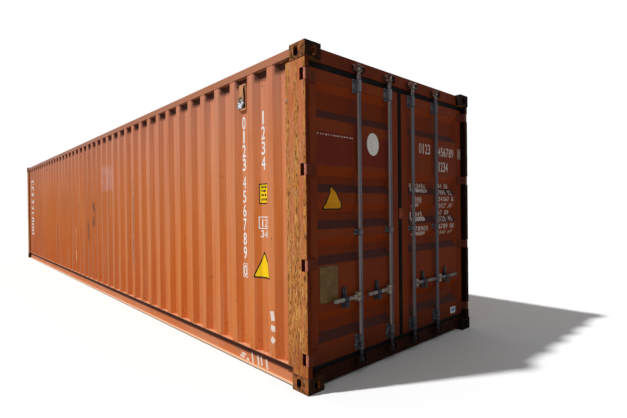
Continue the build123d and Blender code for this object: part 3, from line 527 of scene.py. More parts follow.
def door_paint():
    """Doors in the shade of the key light: dark red-brown, with ledges dusty and painted with a sky
    reflection, painted ground bounce on faces that look down, and a grimy foot.
    """
    s = Surface("door_paint")
    patches = s.noise(2.2, 6.0, 0.6, stretch=0.6)
    fine = s.noise(90.0, 5.0, 0.65)
    runs = s.noise(18.0, 6.0, 0.65, stretch=0.09)
    height = s.axis("Z")
    s.colour = s.blend(patches, 0.38, 0.62, rgb(119, 46, 19), rgb(131, 56, 23))
    # Two places that were once touched up with a redder paint
    touched = s.most(
        s.patch("Y", -1.052, -0.655, 0.004, 1.7, 1.962, 0.004),
        s.patch("Y", -0.52, -0.15, 0.004, 1.715, 1.962, 0.004),
    )
    touched = s.times(touched, s.band(s.facing("X"), 0.3, 0.6), 0.8)
    s.coat(touched, rgb(112, 38, 29))
    s.coat(s.band(runs, 0.55, 0.7, 0.0, 0.3), rgb(146, 72, 34))
    s.coat(s.band(runs, 0.44, 0.3, 0.0, 0.35), rgb(100, 42, 34))
    # Recess backs are a little darker and redder; faces that look down get a painted warm bounce from the
    # ground, and ledges get dust and a painted sky reflection
    back = s.times(s.band(s.axis("X"), LAND_X - 0.005, LAND_X - 0.03), s.band(s.facing("X"), 0.92, 0.98))
    s.coat(back, rgb(100, 34, 8), 0.35)
    down = s.band(s.facing("Z"), -0.25, -0.42)
    s.coat(down, rgb(142, 55, 12))
    ledge = s.times(s.band(s.facing("Z"), 0.25, 0.42), s.band(fine, 0.3, 0.6, 0.85, 1.0))
    s.coat(ledge, rgb(78, 44, 40))
    scratch = s.times(
        s.band(s.cells(16.0, stretch=(1.0, 0.7, 0.22)), 0.05, 0.02),
        s.band(s.noise(4.0, 4.0), 0.56, 0.64),
    )
    s.coat(scratch, rgb(176, 124, 96), 0.7)
    rust = s.times(s.band(s.noise(30.0, 6.0, 0.7), 0.64, 0.7), s.band(height, 0.75, 0.2, 0.25, 1.0))
    s.coat(rust, RUST_DARK)
    foot = s.times(s.band(height, 0.42, 0.17, 0.0, 0.6), s.band(fine, 0.3, 0.6, 0.7, 1.0))
    s.coat(foot, GRIME)
    dents = s.bump(s.noise(3.0, 2.0), 0.006, 0.4)
    rough = s.band(patches, 0.4, 0.6, 0.46, 0.62)
    return s.finish(rough, s.bump(fine, 0.0008, 0.25, dents), specular=0.08)


def chipped_paint(name, paint, chip, chip_from=0.58, chalk=0.4):
    """Paint over a plate, chipped back to rust at random."""
    s = Surface(name)
    fine = s.noise(110.0, 5.0, 0.65)
    chips = s.band(s.noise(48.0, 6.0, 0.65), chip_from, chip_from + 0.07)
    s.colour = s.mix(chips, s.mix(s.band(fine, 0.4, 0.6, 0.0, chalk), paint, CHALK), chip)
    normal = s.bump(s.sum("SUBTRACT", s.times(fine, 0.4), chips), 0.0012, 0.5)
    return s.finish(0.65, normal, specular=0.12)


def hinge_paint():
    """Barrel faces that look sideways are pale pink, partly sun-faded paint and partly a painted sunlit side,
    with painted shade on the right door; the rest matches the doors they are welded to.
    """
    s = Surface("hinge_paint")
    fine = s.noise(110.0, 5.0, 0.65)
    barrel = s.blend(fine, 0.4, 0.62, rgb(184, 96, 74), rgb(218, 148, 124))
    barrel = s.blend(s.noise(60.0, 6.0, 0.7), 0.6, 0.66, barrel, RUST_MID)
    blade = s.blend(fine, 0.4, 0.65, rgb(92, 36, 20), rgb(114, 50, 30))
    # On the right door the barrels are darker: painted shade
    barrel = s.mix(s.band(s.axis("Y"), 0.0, 1.0, 0.0, 0.85), barrel, rgb(74, 34, 26))
    # Faces that look sideways take the barrel colour, partly sun-faded paint and partly a painted sunlit side
    out = s.band(s.sum("ABSOLUTE", s.facing("Y")), 0.35, 0.6)
    s.colour = s.mix(out, blade, barrel)
    return s.finish(0.6, s.bump(fine, 0.001, 0.4), specular=0.12)


def seal_rubber():
    s = Surface("seal_rubber")
    fine = s.noise(90.0, 5.0, 0.6)
    dust = s.band(s.noise(9.0, 6.0, 0.7), 0.5, 0.7, 0.0, 0.45)
    s.colour = s.mix(dust, rgb(13, 13, 13), rgb(44, 38, 34))
    lips = s.sum("SINE", s.times(s.sum("ADD", s.axis("Y"), s.axis("Z")), 520.0))
    normal = s.bump(s.sum("ADD", s.times(lips, 0.3), fine), 0.0015, 0.4)
    return s.finish(0.7, normal, specular=0.12)


def keeper_paint():
    """Cam keepers: cream chips and rust on the header, black grime on the sill."""
    s = Surface("keeper_paint")
    fine = s.noise(90.0, 5.0, 0.65)
    blotch = s.noise(38.0, 5.0, 0.65)
    upper = s.ramp(blotch, (0.42, rgb(34, 18, 14)), (0.5, rgb(86, 36, 24)), (0.58, rgb(206, 186, 172)))
    nearest = 1.0
    for across in ROD_SPOTS:
        away = s.sum("ABSOLUTE", s.sum("SUBTRACT", s.sum("ABSOLUTE", s.axis("Y")), across))
        nearest = s.sum("MINIMUM", away, nearest)
    cheeks = s.band(nearest, 0.034, 0.046)
    upper = s.mix(s.times(cheeks, 0.85), upper, rgb(64, 26, 18))
    lower = s.blend(blotch, 0.42, 0.58, rgb(24, 18, 18), rgb(62, 34, 24))
    s.colour = s.blend(s.axis("Z"), 1.0, 2.0, lower, upper)
    return s.finish(0.6, s.bump(s.sum("ADD", fine, blotch), 0.0015, 0.5), specular=0.12)


def rod_zinc():
    """Galvanised tube: a painted highlight on its left, painted shade on its right side and on the right
    door, cream hub plates, dark brown bands at the bracket ends, mottled cams, grimy foot.
    """
    s = Surface("rod_zinc")
    height = s.axis("Z")
    dull = s.noise(14.0, 6.0, 0.6, stretch=0.12)
    blotch = s.noise(46.0, 6.0, 0.68)
    side = s.facing("Y")
    s.colour = s.blend(dull, 0.36, 0.64, rgb(88, 84, 92), rgb(122, 116, 124))
    # A painted highlight on the faces that look left, weaker on the right door; the right door's rods also
    # get painted shade
    left_highlight = s.times(s.band(s.facing("X"), 0.72, 0.3), s.band(side, -0.1, -0.6))
    left_highlight = s.times(left_highlight, s.band(s.axis("Y"), 0.3, -0.1, 0.25, 1.0))
    s.coat(left_highlight, rgb(196, 184, 176))
    s.coat(s.band(s.axis("Y"), 0.0, 0.3, 0.0, 0.35), rgb(62, 62, 78))
    # Hub plates are cream with rust round their pins
    hub = 0.0
    for across in ROD_SPOTS:
        away = s.sum("ABSOLUTE", s.sum("SUBTRACT", s.sum("ABSOLUTE", s.axis("Y")), across + HUB_OFFSET))
        hub = s.most(s.band(away, 0.021, 0.018), hub)
    hub = s.times(hub, s.window("Z", HANDLE_LEVEL - 0.045, HANDLE_LEVEL + 0.045, 0.002))
    cream = s.blend(blotch, 0.48, 0.6, rgb(190, 172, 152), rgb(104, 66, 46))
    s.coat(hub, cream, 0.9)
    # Painted shade on the faces that look right
    s.coat(s.band(side, 0.35, 0.8, 0.0, 0.6), rgb(66, 60, 66))
    # Dark brown bands where the rod meets each bracket
    collars = 0.0
    for level, (_, tall) in zip(BRACKET_LEVELS, BRACKET_SIZES):
        for end in (level - 0.43 * tall, level + 0.43 * tall):
            collars = s.most(s.window("Z", end - 0.007, end + 0.007, 0.002), collars)
    s.coat(collars, rgb(78, 52, 38), 0.75)
    cam = s.blend(blotch, 0.46, 0.54, rgb(86, 52, 36), rgb(186, 176, 166))
    s.coat(s.band(height, CAM_LEVEL, 2.47), cam)
    grime = s.blend(blotch, 0.45, 0.58, rgb(30, 27, 32), rgb(70, 66, 76))
    s.coat(s.band(height, 0.34, 0.16), grime)
    rust = s.band(s.noise(34.0, 6.0, 0.7, stretch=0.5), 0.66, 0.74)
    s.coat(rust, s.mix(0.5, RUST_MID, GRIME))
    rough = s.band(dull, 0.3, 0.7, 0.4, 0.6)
    return s.finish(rough, s.bump(blotch, 0.0006, 0.35), metallic=0.35)


def zinc(name, light, dark, rust_from, metallic=0.45, spangled=0.25, grimy_foot=0.0, right_shade=0.0):
    """Galvanised steel: spangled, with dull runs and a little rust; a foot may be grimy, the right darker."""
    s = Surface(name)
    spangle = s.cells(70.0)
    dull = s.noise(12.0, 6.0, 0.6, stretch=0.12)
    s.colour = s.blend(dull, 0.36, 0.64, dark, light)
    s.coat(s.band(spangle, 0.1, 0.6, 0.0, spangled), rgb(150, 152, 160))
    rust = s.band(s.noise(34.0, 6.0, 0.7, stretch=0.5), rust_from, rust_from + 0.08)
    s.coat(rust, s.mix(0.5, RUST_MID, GRIME))
    if grimy_foot:
        grime = s.times(s.band(s.axis("Z"), 0.42, 0.24), s.band(s.noise(38.0, 5.0, 0.65), 0.4, 0.54))
        s.coat(s.times(grime, grimy_foot), rgb(30, 28, 38))
    if right_shade:
        s.coat(s.band(s.axis("Y"), 0.0, 0.3, 0.0, right_shade), rgb(56, 58, 72))
    rough = s.band(dull, 0.3, 0.7, 0.42, 0.62)
    return s.finish(rough, s.bump(s.noise(90.0, 4.0), 0.0006, 0.35), metallic=metallic)


def vent_shell():
    s = Surface("vent_shell")
    fine = s.noise(90.0, 5.0, 0.6)
    s.colour = s.blend(fine, 0.4, 0.6, rgb(196, 132, 84), rgb(212, 154, 106))
    louvre = s.band(s.sum("FRACT", s.times(s.axis("Z"), 45.0)), 0.62, 0.72)
    s.coat(louvre, rgb(120, 70, 40), 0.35)
    return s.finish(0.55, s.bump(s.sum("SUBTRACT", fine, louvre), 0.0015, 0.4))


def torn_metal(name, bare, flake):
    """Crumpled lining pulled out of the ventilator: bare sheet with flakes of paint."""
    s = Surface(name)
    fine = s.noise(55.0, 6.0, 0.65)
    flakes = s.band(s.noise(28.0, 5.0, 0.6), 0.46, 0.54)
    s.colour = s.mix(flakes, bare, flake)
    s.coat(s.band(fine, 0.6, 0.68), rgb(72, 56, 44))
    return s.finish(0.5, s.bump(fine, 0.002, 0.6), metallic=0.2)


def data_brass():
    """Blank plate, dulled, with a dark rim and rows of plain dashes; its rivets share the look."""
    s = Surface("data_brass")
    fine = s.noise(150.0, 5.0, 0.65)
    s.colour = s.blend(s.noise(14.0, 6.0, 0.65), 0.4, 0.62, rgb(112, 82, 34), rgb(134, 102, 46))
    rows = s.sum("FRACT", s.times(s.axis("Z"), 62.0))
    bars = s.times(s.band(rows, 0.52, 0.6), s.band(s.noise(210.0, 2.0), 0.44, 0.52))
    inset = s.patch("Y", -1.02, -0.854, 0.004, 0.65, 0.892, 0.004)
    s.coat(s.times(bars, inset, 0.75), rgb(58, 40, 20))
    rim = s.sum("SUBTRACT", 1.0, s.patch("Y", -1.032, -0.842, 0.002, 0.634, 0.906, 0.002))
    s.coat(rim, rgb(60, 44, 26), 0.7)
    return s.finish(0.5, s.bump(fine, 0.0005, 0.3), metallic=0.25)


def decal(name, colour, worn, wear_from=0.6):
    """Thin coat of marking paint or film, worn through in specks."""
    s = Surface(name)
    fine = s.noise(85.0, 5.0, 0.7)
    dirt = s.noise(12.0, 5.0, 0.6, stretch=0.3)
    s.colour = s.mix(s.band(dirt, 0.45, 0.72, 0.0, 0.35), colour, worn)
    s.coat(s.band(fine, wear_from, wear_from + 0.06), worn)
    return s.finish(0.55, specular=0.15)


def weld_steel(name, light, dark):
    s = Surface(name)
    ripple = s.noise(160.0, 4.0, 0.6)
    s.colour = s.blend(s.noise(24.0, 5.0, 0.65), 0.42, 0.6, light, dark)
    return s.finish(0.6, s.bump(ripple, 0.002, 0.5), specular=0.12)


def floor_cover():
    """Pale studio floor: shown pale, but giving back only a dim bounce."""
    s = Surface("studio_floor")
    path = s.node("ShaderNodeLightPath")
    shown = s.band(path.outputs["Is Camera Ray"], 0.0, 1.0, FLOOR_BOUNCE, FLOOR_SHOWN)
    grey = s.node("ShaderNodeCombineColor")
    for key in ("Red", "Green", "Blue"):
        s.feed(grey.inputs[key], shown)
    s.colour = grey.outputs["Color"]
    return s.finish(0.9, specular=0.0)


def make_materials():
    white = rgb(238, 236, 232)
    return {
        "side": side_paint(),
        "rail": rail_paint(),
        "end_frame": end_frame_paint(),
        "post": post_paint(),
        "casting": casting_steel(),
        "under": under_paint(),
        "floor_wood": floor_wood(),
        "door": door_paint(),
        "seal": seal_rubber(),
        "hinge": hinge_paint(),
        "keeper": keeper_paint(),
        "centre_plate": chipped_paint("centre_plate_paint", rgb(138, 54, 26), RUST_DARK, 0.62, 0.1),
        "rod": rod_zinc(),
        "bracket": zinc(
            "bracket_zinc", rgb(134, 132, 142), rgb(96, 92, 100), 0.6, grimy_foot=0.8, right_shade=0.3
        ),
        "handle": zinc("handle_zinc", rgb(196, 180, 164), rgb(104, 92, 86), 0.54, right_shade=0.5),
        "retainer": zinc("retainer_zinc", rgb(52, 50, 64), rgb(18, 17, 26), 0.58, 0.1, 0.04),
        "catch": zinc("catch_zinc", rgb(52, 58, 94), rgb(16, 17, 36), 0.64, 0.15, 0.04),
        "bolt": zinc("bolt_steel", rgb(34, 30, 32), rgb(18, 16, 16), 0.6),
        "vent": vent_shell(),
        "torn": torn_metal("torn_metal", rgb(110, 112, 112), rgb(216, 220, 224)),
        "rag": torn_metal("torn_rag", rgb(84, 70, 52), rgb(160, 148, 124)),
        "brass": data_brass(),
        "weld": weld_steel("weld_bead", rgb(204, 138, 100), rgb(170, 92, 54)),
        "dark_weld": weld_steel("dark_weld_bead", rgb(112, 48, 26), rgb(80, 32, 18)),
        "white": decal("white_marking", white, rgb(206, 142, 104), 0.64),
        "door_white": decal("door_marking", rgb(214, 200, 190), rgb(128, 66, 44), 0.58),
        "disc": decal("white_disc", rgb(236, 230, 224), rgb(190, 176, 168), 0.68),
        "faded_white": decal("faded_marking", rgb(228, 216, 204), rgb(208, 160, 128), 0.58),
        "yellow": decal("yellow_film", rgb(252, 206, 18), rgb(226, 176, 24), 0.72),
        "edge": decal("film_edge", rgb(38, 30, 22), rgb(90, 56, 30), 0.7),
        "door_yellow": decal("door_yellow_film", rgb(232, 158, 10), rgb(184, 112, 16), 0.7),
        "blue": decal("blue_film", rgb(84, 140, 190), rgb(200, 204, 208), 0.6),
    }


NODE_LOOKS = {
    "side": ("left_side_wall", "right_side_wall", "blind_end_wall", "roof_panel"),
    "rail": ("left_top_rail", "right_top_rail", "left_bottom_rail", "right_bottom_rail"),
    "end_frame": ("door_header", "door_sill", "blind_end_header", "blind_end_sill"),
    "post": ("left_door_post", "right_door_post", "left_blind_post", "right_blind_post"),
    "casting": ("corner_castings_top", "corner_castings_bottom"),
    "under": ("cross_members", "gooseneck_tunnel"),
    "floor_wood": ("floor_boards",),
    "door": ("left_door_frame", "right_door_frame", "left_door_panel", "right_door_panel"),
    "seal": ("left_door_seal", "right_door_seal"),
    "hinge": ("left_door_hinges", "right_door_hinges"),
    "keeper": ("cam_keepers",),
    "centre_plate": ("right_centre_plate",),
    "rod": tuple(f"{side}_{place}_lock_rod" for side in ("left", "right") for place in ("inner", "outer")),
    "bracket": ("left_rod_brackets", "right_rod_brackets"),
    "handle": tuple(f"{side}_{place}_handle" for side in ("left", "right") for place in ("inner", "outer")),
    "retainer": ("left_handle_retainers", "right_handle_retainers"),
    "vent": ("ventilators",),
    "brass": ("left_data_plate",),
}


def dress_nodes(looks):
    for key, nodes in NODE_LOOKS.items():
        for name in nodes:
            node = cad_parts[name]
            node.data.materials.clear()
            node.data.materials.append(looks[key])


def wall_y(x):
    """How far from the centre line the outer face of a side wall is at x."""
    away = abs((x - WALL_FIRST_CREST + WALL_PITCH / 2) % WALL_PITCH - WALL_PITCH / 2)
    share = min(max((away - CREST_HALF) / CREST_SLOPE, 0.0), 1.0)
    return WALL_CREST_Y + (WALL_VALLEY_Y - WALL_CREST_Y) * share


def wall_bends(low, high):
    bends = []
    crest = WALL_FIRST_CREST
    while crest > low - WALL_PITCH:
        for away in (CREST_HALF + CREST_SLOPE, CREST_HALF):
            bends += [crest - away, crest + away]
        crest -= WALL_PITCH
    return sorted(bend for bend in bends if low < bend < high)


def door_x(y, z):
    """Where the front of a door is: on its stiles, its lands or down in a recess."""
    across = abs(y)
    if across > STILE_Y or z < PANEL_LOW or z > PANEL_HIGH:
        return STILE_X
    share = 0.0
    for low, high in RECESSES:
        down = min((z - low) / RECESS_SLOPE, (high - z) / RECESS_SLOPE)
        inward = min((across - RECESS_INNER) / RECESS_END_SLOPE, (RECESS_OUTER - across) / RECESS_END_SLOPE)
        share = max(share, min(down, inward, 1.0))
    return LAND_X - RECESS_DEPTH * share


def on_left_wall(x, z):
    return Vector((x, -wall_y(x), z))


def on_door(y, z):
    return Vector((door_x(y, z), y, z))


def on_left_rail(x, z):
    return Vector((x, -RAIL_WEB_Y, z))


def glyph(character):
    """Triangles of one plain digit, fitted to a unit square."""
    curve = bpy.data.curves.new("digit", "FONT")
    curve.body = character
    curve.offset = GLYPH_WEIGHT
    holder = bpy.data.objects.new("digit", curve)
    bpy.context.scene.collection.objects.link(holder)
    shape = bpy.data.meshes.new_from_object(holder)
    places = [vertex.co for vertex in shape.vertices]
    low_x, high_x = min(p.x for p in places), max(p.x for p in places)
    low_y, high_y = min(p.y for p in places), max(p.y for p in places)
    triangles = []
    for face in shape.polygons:
        if face.normal.z > 0:
            corners = [places[index] for index in face.vertices]
            triangles.append(
                [((p.x - low_x) / (high_x - low_x), (p.y - low_y) / (high_y - low_y)) for p in corners]
            )
    bpy.data.objects.remove(holder)
    bpy.data.curves.remove(curve)
    bpy.data.meshes.remove(shape)
    return triangles


GLYPHS = {character: glyph(character) for character in "0123456789"}


def make_piece(name, mesh, look, body, smooth=False):
    """Turn a finished bmesh into an object that rides on a body."""
    bmesh.ops.recalc_face_normals(mesh, faces=mesh.faces[:])
    data = bpy.data.meshes.new(name)
    mesh.to_mesh(data)
    mesh.free()
    data.materials.append(look)
    if smooth:
        data.polygons.foreach_set("use_smooth", [True] * len(data.polygons))
    piece = bpy.data.objects.new(name, data)
    bpy.context.scene.collection.objects.link(piece)
    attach(piece, body)
    return piece


class Marks:
    """Flat shapes drawn across and up a face, cut at its bends and laid on it as a thin coat."""

    def __init__(self):
        self.mesh = bmesh.new()

    def shape(self, points):
        self.mesh.faces.new([self.mesh.verts.new((across, up, 0.0)) for across, up in points])

    def box(self, left, low, right, high):
        self.shape([(left, low), (right, low), (right, high), (left, high)])

    def ring(self, left, low, right, high, line):
        self.box(left, low, left + line, high)
        self.box(right - line, low, right, high)
        self.box(left + line, low, right - line, low + line)
        self.box(left + line, high - line, right - line, high)

    def digit(self, character, left, low, right, high, lying=False):
        share = NARROW.get(character, 1.0)
        middle, half = (left + right) / 2, share * (right - left) / 2
        if lying:
            middle, half = (low + high) / 2, share * (high - low) / 2
        for triangle in GLYPHS[character]:
            points = []
            for over, up in triangle:
                along = middle + (2 * over - 1) * half
                if lying:
                    points.append((right - up * (right - left), along))
                else:
                    points.append((along, low + up * (high - low)))
            self.shape(points)

    def row(self, digits, left, low, right, high, gap=0.22):
        """Digits side by side, filling a box; a space leaves room."""
        step = (right - left) / (len(digits) - gap)
        for index, character in enumerate(digits):
            if character != " ":
                start = left + index * step
                self.digit(character, start, low, start + step * (1 - gap), high)

    def column(self, digits, left, right, top, tall, step):
        for index, character in enumerate(digits):
            high = top - index * step
            self.digit(character, left, high - tall, right, high)

    def dashes(self, dice, left, low, right, high, mean):
        """A line of plain dashes of uneven length, standing for small words."""
        start = left
        while start < right - mean / 2:
            wide = mean * dice.uniform(0.45, 1.3)
            end = min(start + wide, right)
            self.box(start, low + (high - low) * dice.uniform(0.0, 0.25), end, high)
            start = end + mean * dice.uniform(0.18, 0.5)

    def lay(self, name, look, face, lift=LIFT, coat=COAT):
        """Lay the shapes on a face: its body, its places, its outward direction and its bends both ways."""
        body, place, outward, across_cuts, up_cuts = face
        mesh = self.mesh
        bmesh.ops.remove_doubles(mesh, verts=mesh.verts[:], dist=SAME_CORNER)
        for cuts, direction in ((across_cuts, (1, 0, 0)), (up_cuts, (0, 1, 0))):
            for cut in cuts:
                parts = mesh.verts[:] + mesh.edges[:] + mesh.faces[:]
                bmesh.ops.bisect_plane(mesh, geom=parts, plane_co=(cut, cut, 0.0), plane_no=direction)
        rims = [edge for edge in mesh.edges if edge.is_boundary]
        under = mesh.faces[:]
        places = {vert: place(vert.co.x, vert.co.y) for vert in mesh.verts}
        tops = {vert: mesh.verts.new(spot + outward * (lift + coat)) for vert, spot in places.items()}
        for vert, spot in places.items():
            vert.co = spot + outward * lift
        for edge in rims:
            first, last = edge.verts
            mesh.faces.new([first, last, tops[last], tops[first]])
        for face in under:
            mesh.faces.new([tops[vert] for vert in face.verts])
        return make_piece(name, mesh, look, body)


def rounded(corners, radius, steps=4):
    """A polygon with its corners rounded."""
    points = []
    for index, corner in enumerate(corners):
        before, after = corners[index - 1], corners[(index + 1) % len(corners)]
        ends = []
        for other in (before, after):
            away = math.dist(corner, other)
            share = min(radius / away, 0.45)
            ends.append([corner[k] + (other[k] - corner[k]) * share for k in (0, 1)])
        for step in range(steps + 1):
            t = step / steps
            first, pull, last = (1 - t) ** 2, 2 * t * (1 - t), t**2
            points.append(tuple(first * ends[0][k] + pull * corner[k] + last * ends[1][k] for k in (0, 1)))
    return points


def shrunk(corners, share):
    """The same polygon drawn in towards its middle."""
    middle = [sum(corner[k] for corner in corners) / len(corners) for k in (0, 1)]
    return [tuple(middle[k] + (corner[k] - middle[k]) * share for k in (0, 1)) for corner in corners]


def edged_patch(name, corners, outer_radius, inner_radius, edge, film, face):
    """A triangle of film on a larger dark one that shows as its edge."""
    under = Marks()
    under.shape(rounded(corners, outer_radius))
    under.lay(f"{name}_edge", edge, face)
    patch = Marks()
    patch.shape(rounded(shrunk(corners, FILM_SHARE), inner_radius))
    patch.lay(name, film, face, COAT + LIFT)


def wall_marks(looks):
    wall = (BODY, on_left_wall, LEFT_OUT, wall_bends(-5.9, 5.9), ())
    dice = random.Random(7)
    white = Marks()
    white.column("0123", 5.205, 5.257, 2.1749, 0.111, 0.1222)
    white.column("456789", 5.206, 5.256, 1.6497, 0.109, 0.1239)
    white.ring(5.1985, 0.7586, 5.266, 0.8814, 0.005)
    white.digit("0", 5.2085, 0.772, 5.2555, 0.868)
    white.column("1234", 5.493, 5.546, 2.1756, 0.11, 0.1259)
    white.ring(5.46, 1.195, 5.596, 1.298, 0.0085)
    white.row("12", 5.478, 1.2135, 5.566, 1.2765)
    white.row("34", 5.476, 1.123, 5.57, 1.183)
    white.lay("left_wall_digits", looks["white"], wall)
    plate = Marks()
    plate.shape(rounded([(5.4645, 1.403), (5.579, 1.404), (5.579, 1.574), (5.4645, 1.573)], 0.008))
    plate.lay("left_wall_plate_edge", looks["edge"], wall)
    film = Marks()
    film.shape(rounded([(5.4735, 1.4135), (5.5725, 1.4135), (5.5725, 1.563), (5.4735, 1.563)], 0.005))
    film.lay("left_wall_plate", looks["yellow"], wall, COAT + LIFT)
    bars = Marks()
    for low in (1.43, 1.466, 1.502, 1.533):
        bars.dashes(dice, 5.486, low, 5.56, low + 0.02, 0.022)
    bars.lay("left_wall_plate_bars", looks["edge"], wall, 2 * (COAT + LIFT))
    corners = [(5.518, 1.0139), (5.401, 0.7815), (5.6399, 0.7852)]
    edged_patch("left_wall_patch", corners, 0.022, 0.018, looks["edge"], looks["yellow"], wall)
    faded = Marks()
    faded.shape([(5.6332, 0.535), (5.6524, 0.4611), (5.6984, 0.4702), (5.6816, 0.544)])
    faded.shape([(5.6467, 0.4302), (5.6458, 0.39), (5.67, 0.378), (5.701, 0.3831), (5.7015, 0.425)])
    faded.shape([(5.6625, 0.3438), (5.639, 0.3013), (5.6745, 0.2774), (5.704, 0.3161)])
    faded.lay("left_wall_labels", looks["faded_white"], wall)
    far = Marks()
    for index, character in enumerate("234567890"):
        high = 2.195 - index * 0.17
        far.digit(character, -5.45, high - 0.145, -5.1, high, lying=True)
    far.lay("left_wall_far_digits", looks["white"], wall)
    rail = Marks()
    for left, low, right, high in (
        (5.125, 0.03, 5.19, 0.05),
        (5.15, 0.058, 5.215, 0.076),
        (5.225, 0.022, 5.262, 0.044),
        (5.314, 0.022, 5.334, 0.112),
        (5.397, 0.024, 5.421, 0.106),
        (5.446, 0.034, 5.466, 0.11),
        (5.52, 0.026, 5.546, 0.106),
    ):
        lean = (high - low) * 0.18
        rail.shape([(left, low), (right, low), (right - lean, high), (left - lean, high)])
    rail.lay("left_rail_strokes", looks["faded_white"], (BODY, on_left_rail, LEFT_OUT, (), ()))


def door_bends():
    bends = []
    for low, high in RECESSES:
        bends += [low, low + RECESS_SLOPE, high - RECESS_SLOPE, high]
    return bends


def door_face(side, up_cuts=()):
    return DOORS[side], on_door, DOOR_OUT, (), up_cuts


def door_marks(looks):
    left, right = door_face(LEFT), door_face(RIGHT)
    dice = random.Random(11)
    disc = Marks()
    turns = [2 * math.pi * step / 40 for step in range(40)]
    disc.shape([(-0.3817 + 0.08 * math.cos(turn), 1.9115 + 0.098 * math.sin(turn)) for turn in turns])
    disc.lay("left_door_disc", looks["disc"], left)
    corners = [(-0.885, 1.5581), (-0.9949, 1.349), (-0.752, 1.35)]
    face = door_face(LEFT, door_bends())
    edged_patch("left_door_patch", corners, 0.03, 0.024, looks["edge"], looks["door_yellow"], face)
    small = Marks()
    start = -1.048
    while start < -0.65:
        wide = dice.uniform(0.007, 0.018)
        small.box(start, 1.929 + dice.uniform(0.0, 0.004), start + wide, 1.942)
        start += wide + dice.uniform(0.01, 0.022)
    small.lay("left_door_dashes", looks["door_white"], left)
    text = Marks()
    text.row("0123", 0.333, 1.893, 0.533, 1.9945)
    text.row("456789", 0.687, 1.89, 0.998, 1.983)
    text.row("1234", 0.684, 1.729, 0.876, 1.831)
    text.row("0123456", 0.205, 1.55, 0.486, 1.594)
    text.row("7890", 0.205, 1.402, 0.364, 1.46)
    text.row("12345", 0.205, 1.265, 0.426, 1.312)
    text.row("678901", 0.205, 1.123, 0.481, 1.172)
    for low, high, far, digits in (
        (1.5565, 1.607, 0.9285, "234 56"),
        (1.487, 1.537, 0.962, "7890 12"),
        (1.418, 1.466, 0.987, "34567 8"),
        (1.348, 1.398, 0.9795, "9012 34"),
        (1.274, 1.324, 0.943, "567 89"),
        (1.206, 1.26, 0.9835, "0123 45"),
        (1.13, 1.18, 0.9975, "6789 01"),
        (1.072, 1.11, 0.9805, "2345 67"),
    ):
        text.row(digits, 0.685, low, far, high)
    for low, high, far in (
        (1.502, 1.544, 0.505),
        (1.362, 1.397, 0.344),
        (1.217, 1.262, 0.456),
        (1.077, 1.116, 0.4575),
    ):
        text.dashes(dice, 0.205, low, far, high, 0.026)
    text.lay("right_door_digits", looks["door_white"], door_face(RIGHT, door_bends()))
    check = Marks()
    check.ring(1.0865, 1.887, 1.148, 1.996, 0.004)
    check.digit("0", 1.098, 1.902, 1.1365, 1.981)
    check.lay("right_door_check_digit", looks["door_white"], right)
    sticker = Marks()
    sticker.box(0.903, 0.2, 1.006, 0.268)
    sticker.lay("right_door_label", looks["disc"], right)
    bars = Marks()
    bars.box(0.922, 0.221, 0.994, 0.254)
    bars.dashes(dice, 0.912, 0.208, 0.998, 0.212, 0.018)
    bars.lay("right_door_label_bars", looks["blue"], right, COAT + LIFT)


def skin(mesh, first, last):
    """Faces from one loop of corners to the next."""
    for index in range(len(first)):
        after = (index + 1) % len(first)
        mesh.faces.new([first[index], first[after], last[after], last[index]])


def closed(mesh, loops):
    """A closed solid through a run of loops."""
    for first, last in zip(loops, loops[1:]):
        skin(mesh, first, last)
    mesh.faces.new(loops[0][::-1])
    mesh.faces.new(loops[-1])


def turned(mesh, rings, sides, centre, turn=0.0):
    """A closed solid turned about the X axis, from (radius, height) rings."""
    loops = []
    for radius, out in rings:
        loop = []
        for side in range(sides):
            angle = turn + 2 * math.pi * side / sides
            spoke = Vector((out, radius * math.cos(angle), radius * math.sin(angle)))
            loop.append(mesh.verts.new(centre + spoke))
        loops.append(loop)
    closed(mesh, loops)


def bolt(mesh, dice, centre, radius=0.0085):
    """A hexagon head with chamfered corners on a washer."""
    turned(mesh, ((1.45 * radius, 0.0), (1.45 * radius, 0.0012), (1.3 * radius, 0.0018)), 14, centre)
    head = centre + Vector((0.0018, 0.0, 0.0))
    spin = dice.uniform(0.0, 1.0)
    turned(mesh, ((radius, 0.0), (radius, 0.0048), (0.82 * radius, 0.0062)), 6, head, spin)
    turned(mesh, ((0.42 * radius, 0.0), (0.42 * radius, 0.0084), (0.3 * radius, 0.0092)), 10, head, spin)


def rivet(mesh, centre, radius):
    turned(mesh, ((radius, 0.0), (0.92 * radius, 0.4 * radius), (0.55 * radius, 0.75 * radius)), 12, centre)


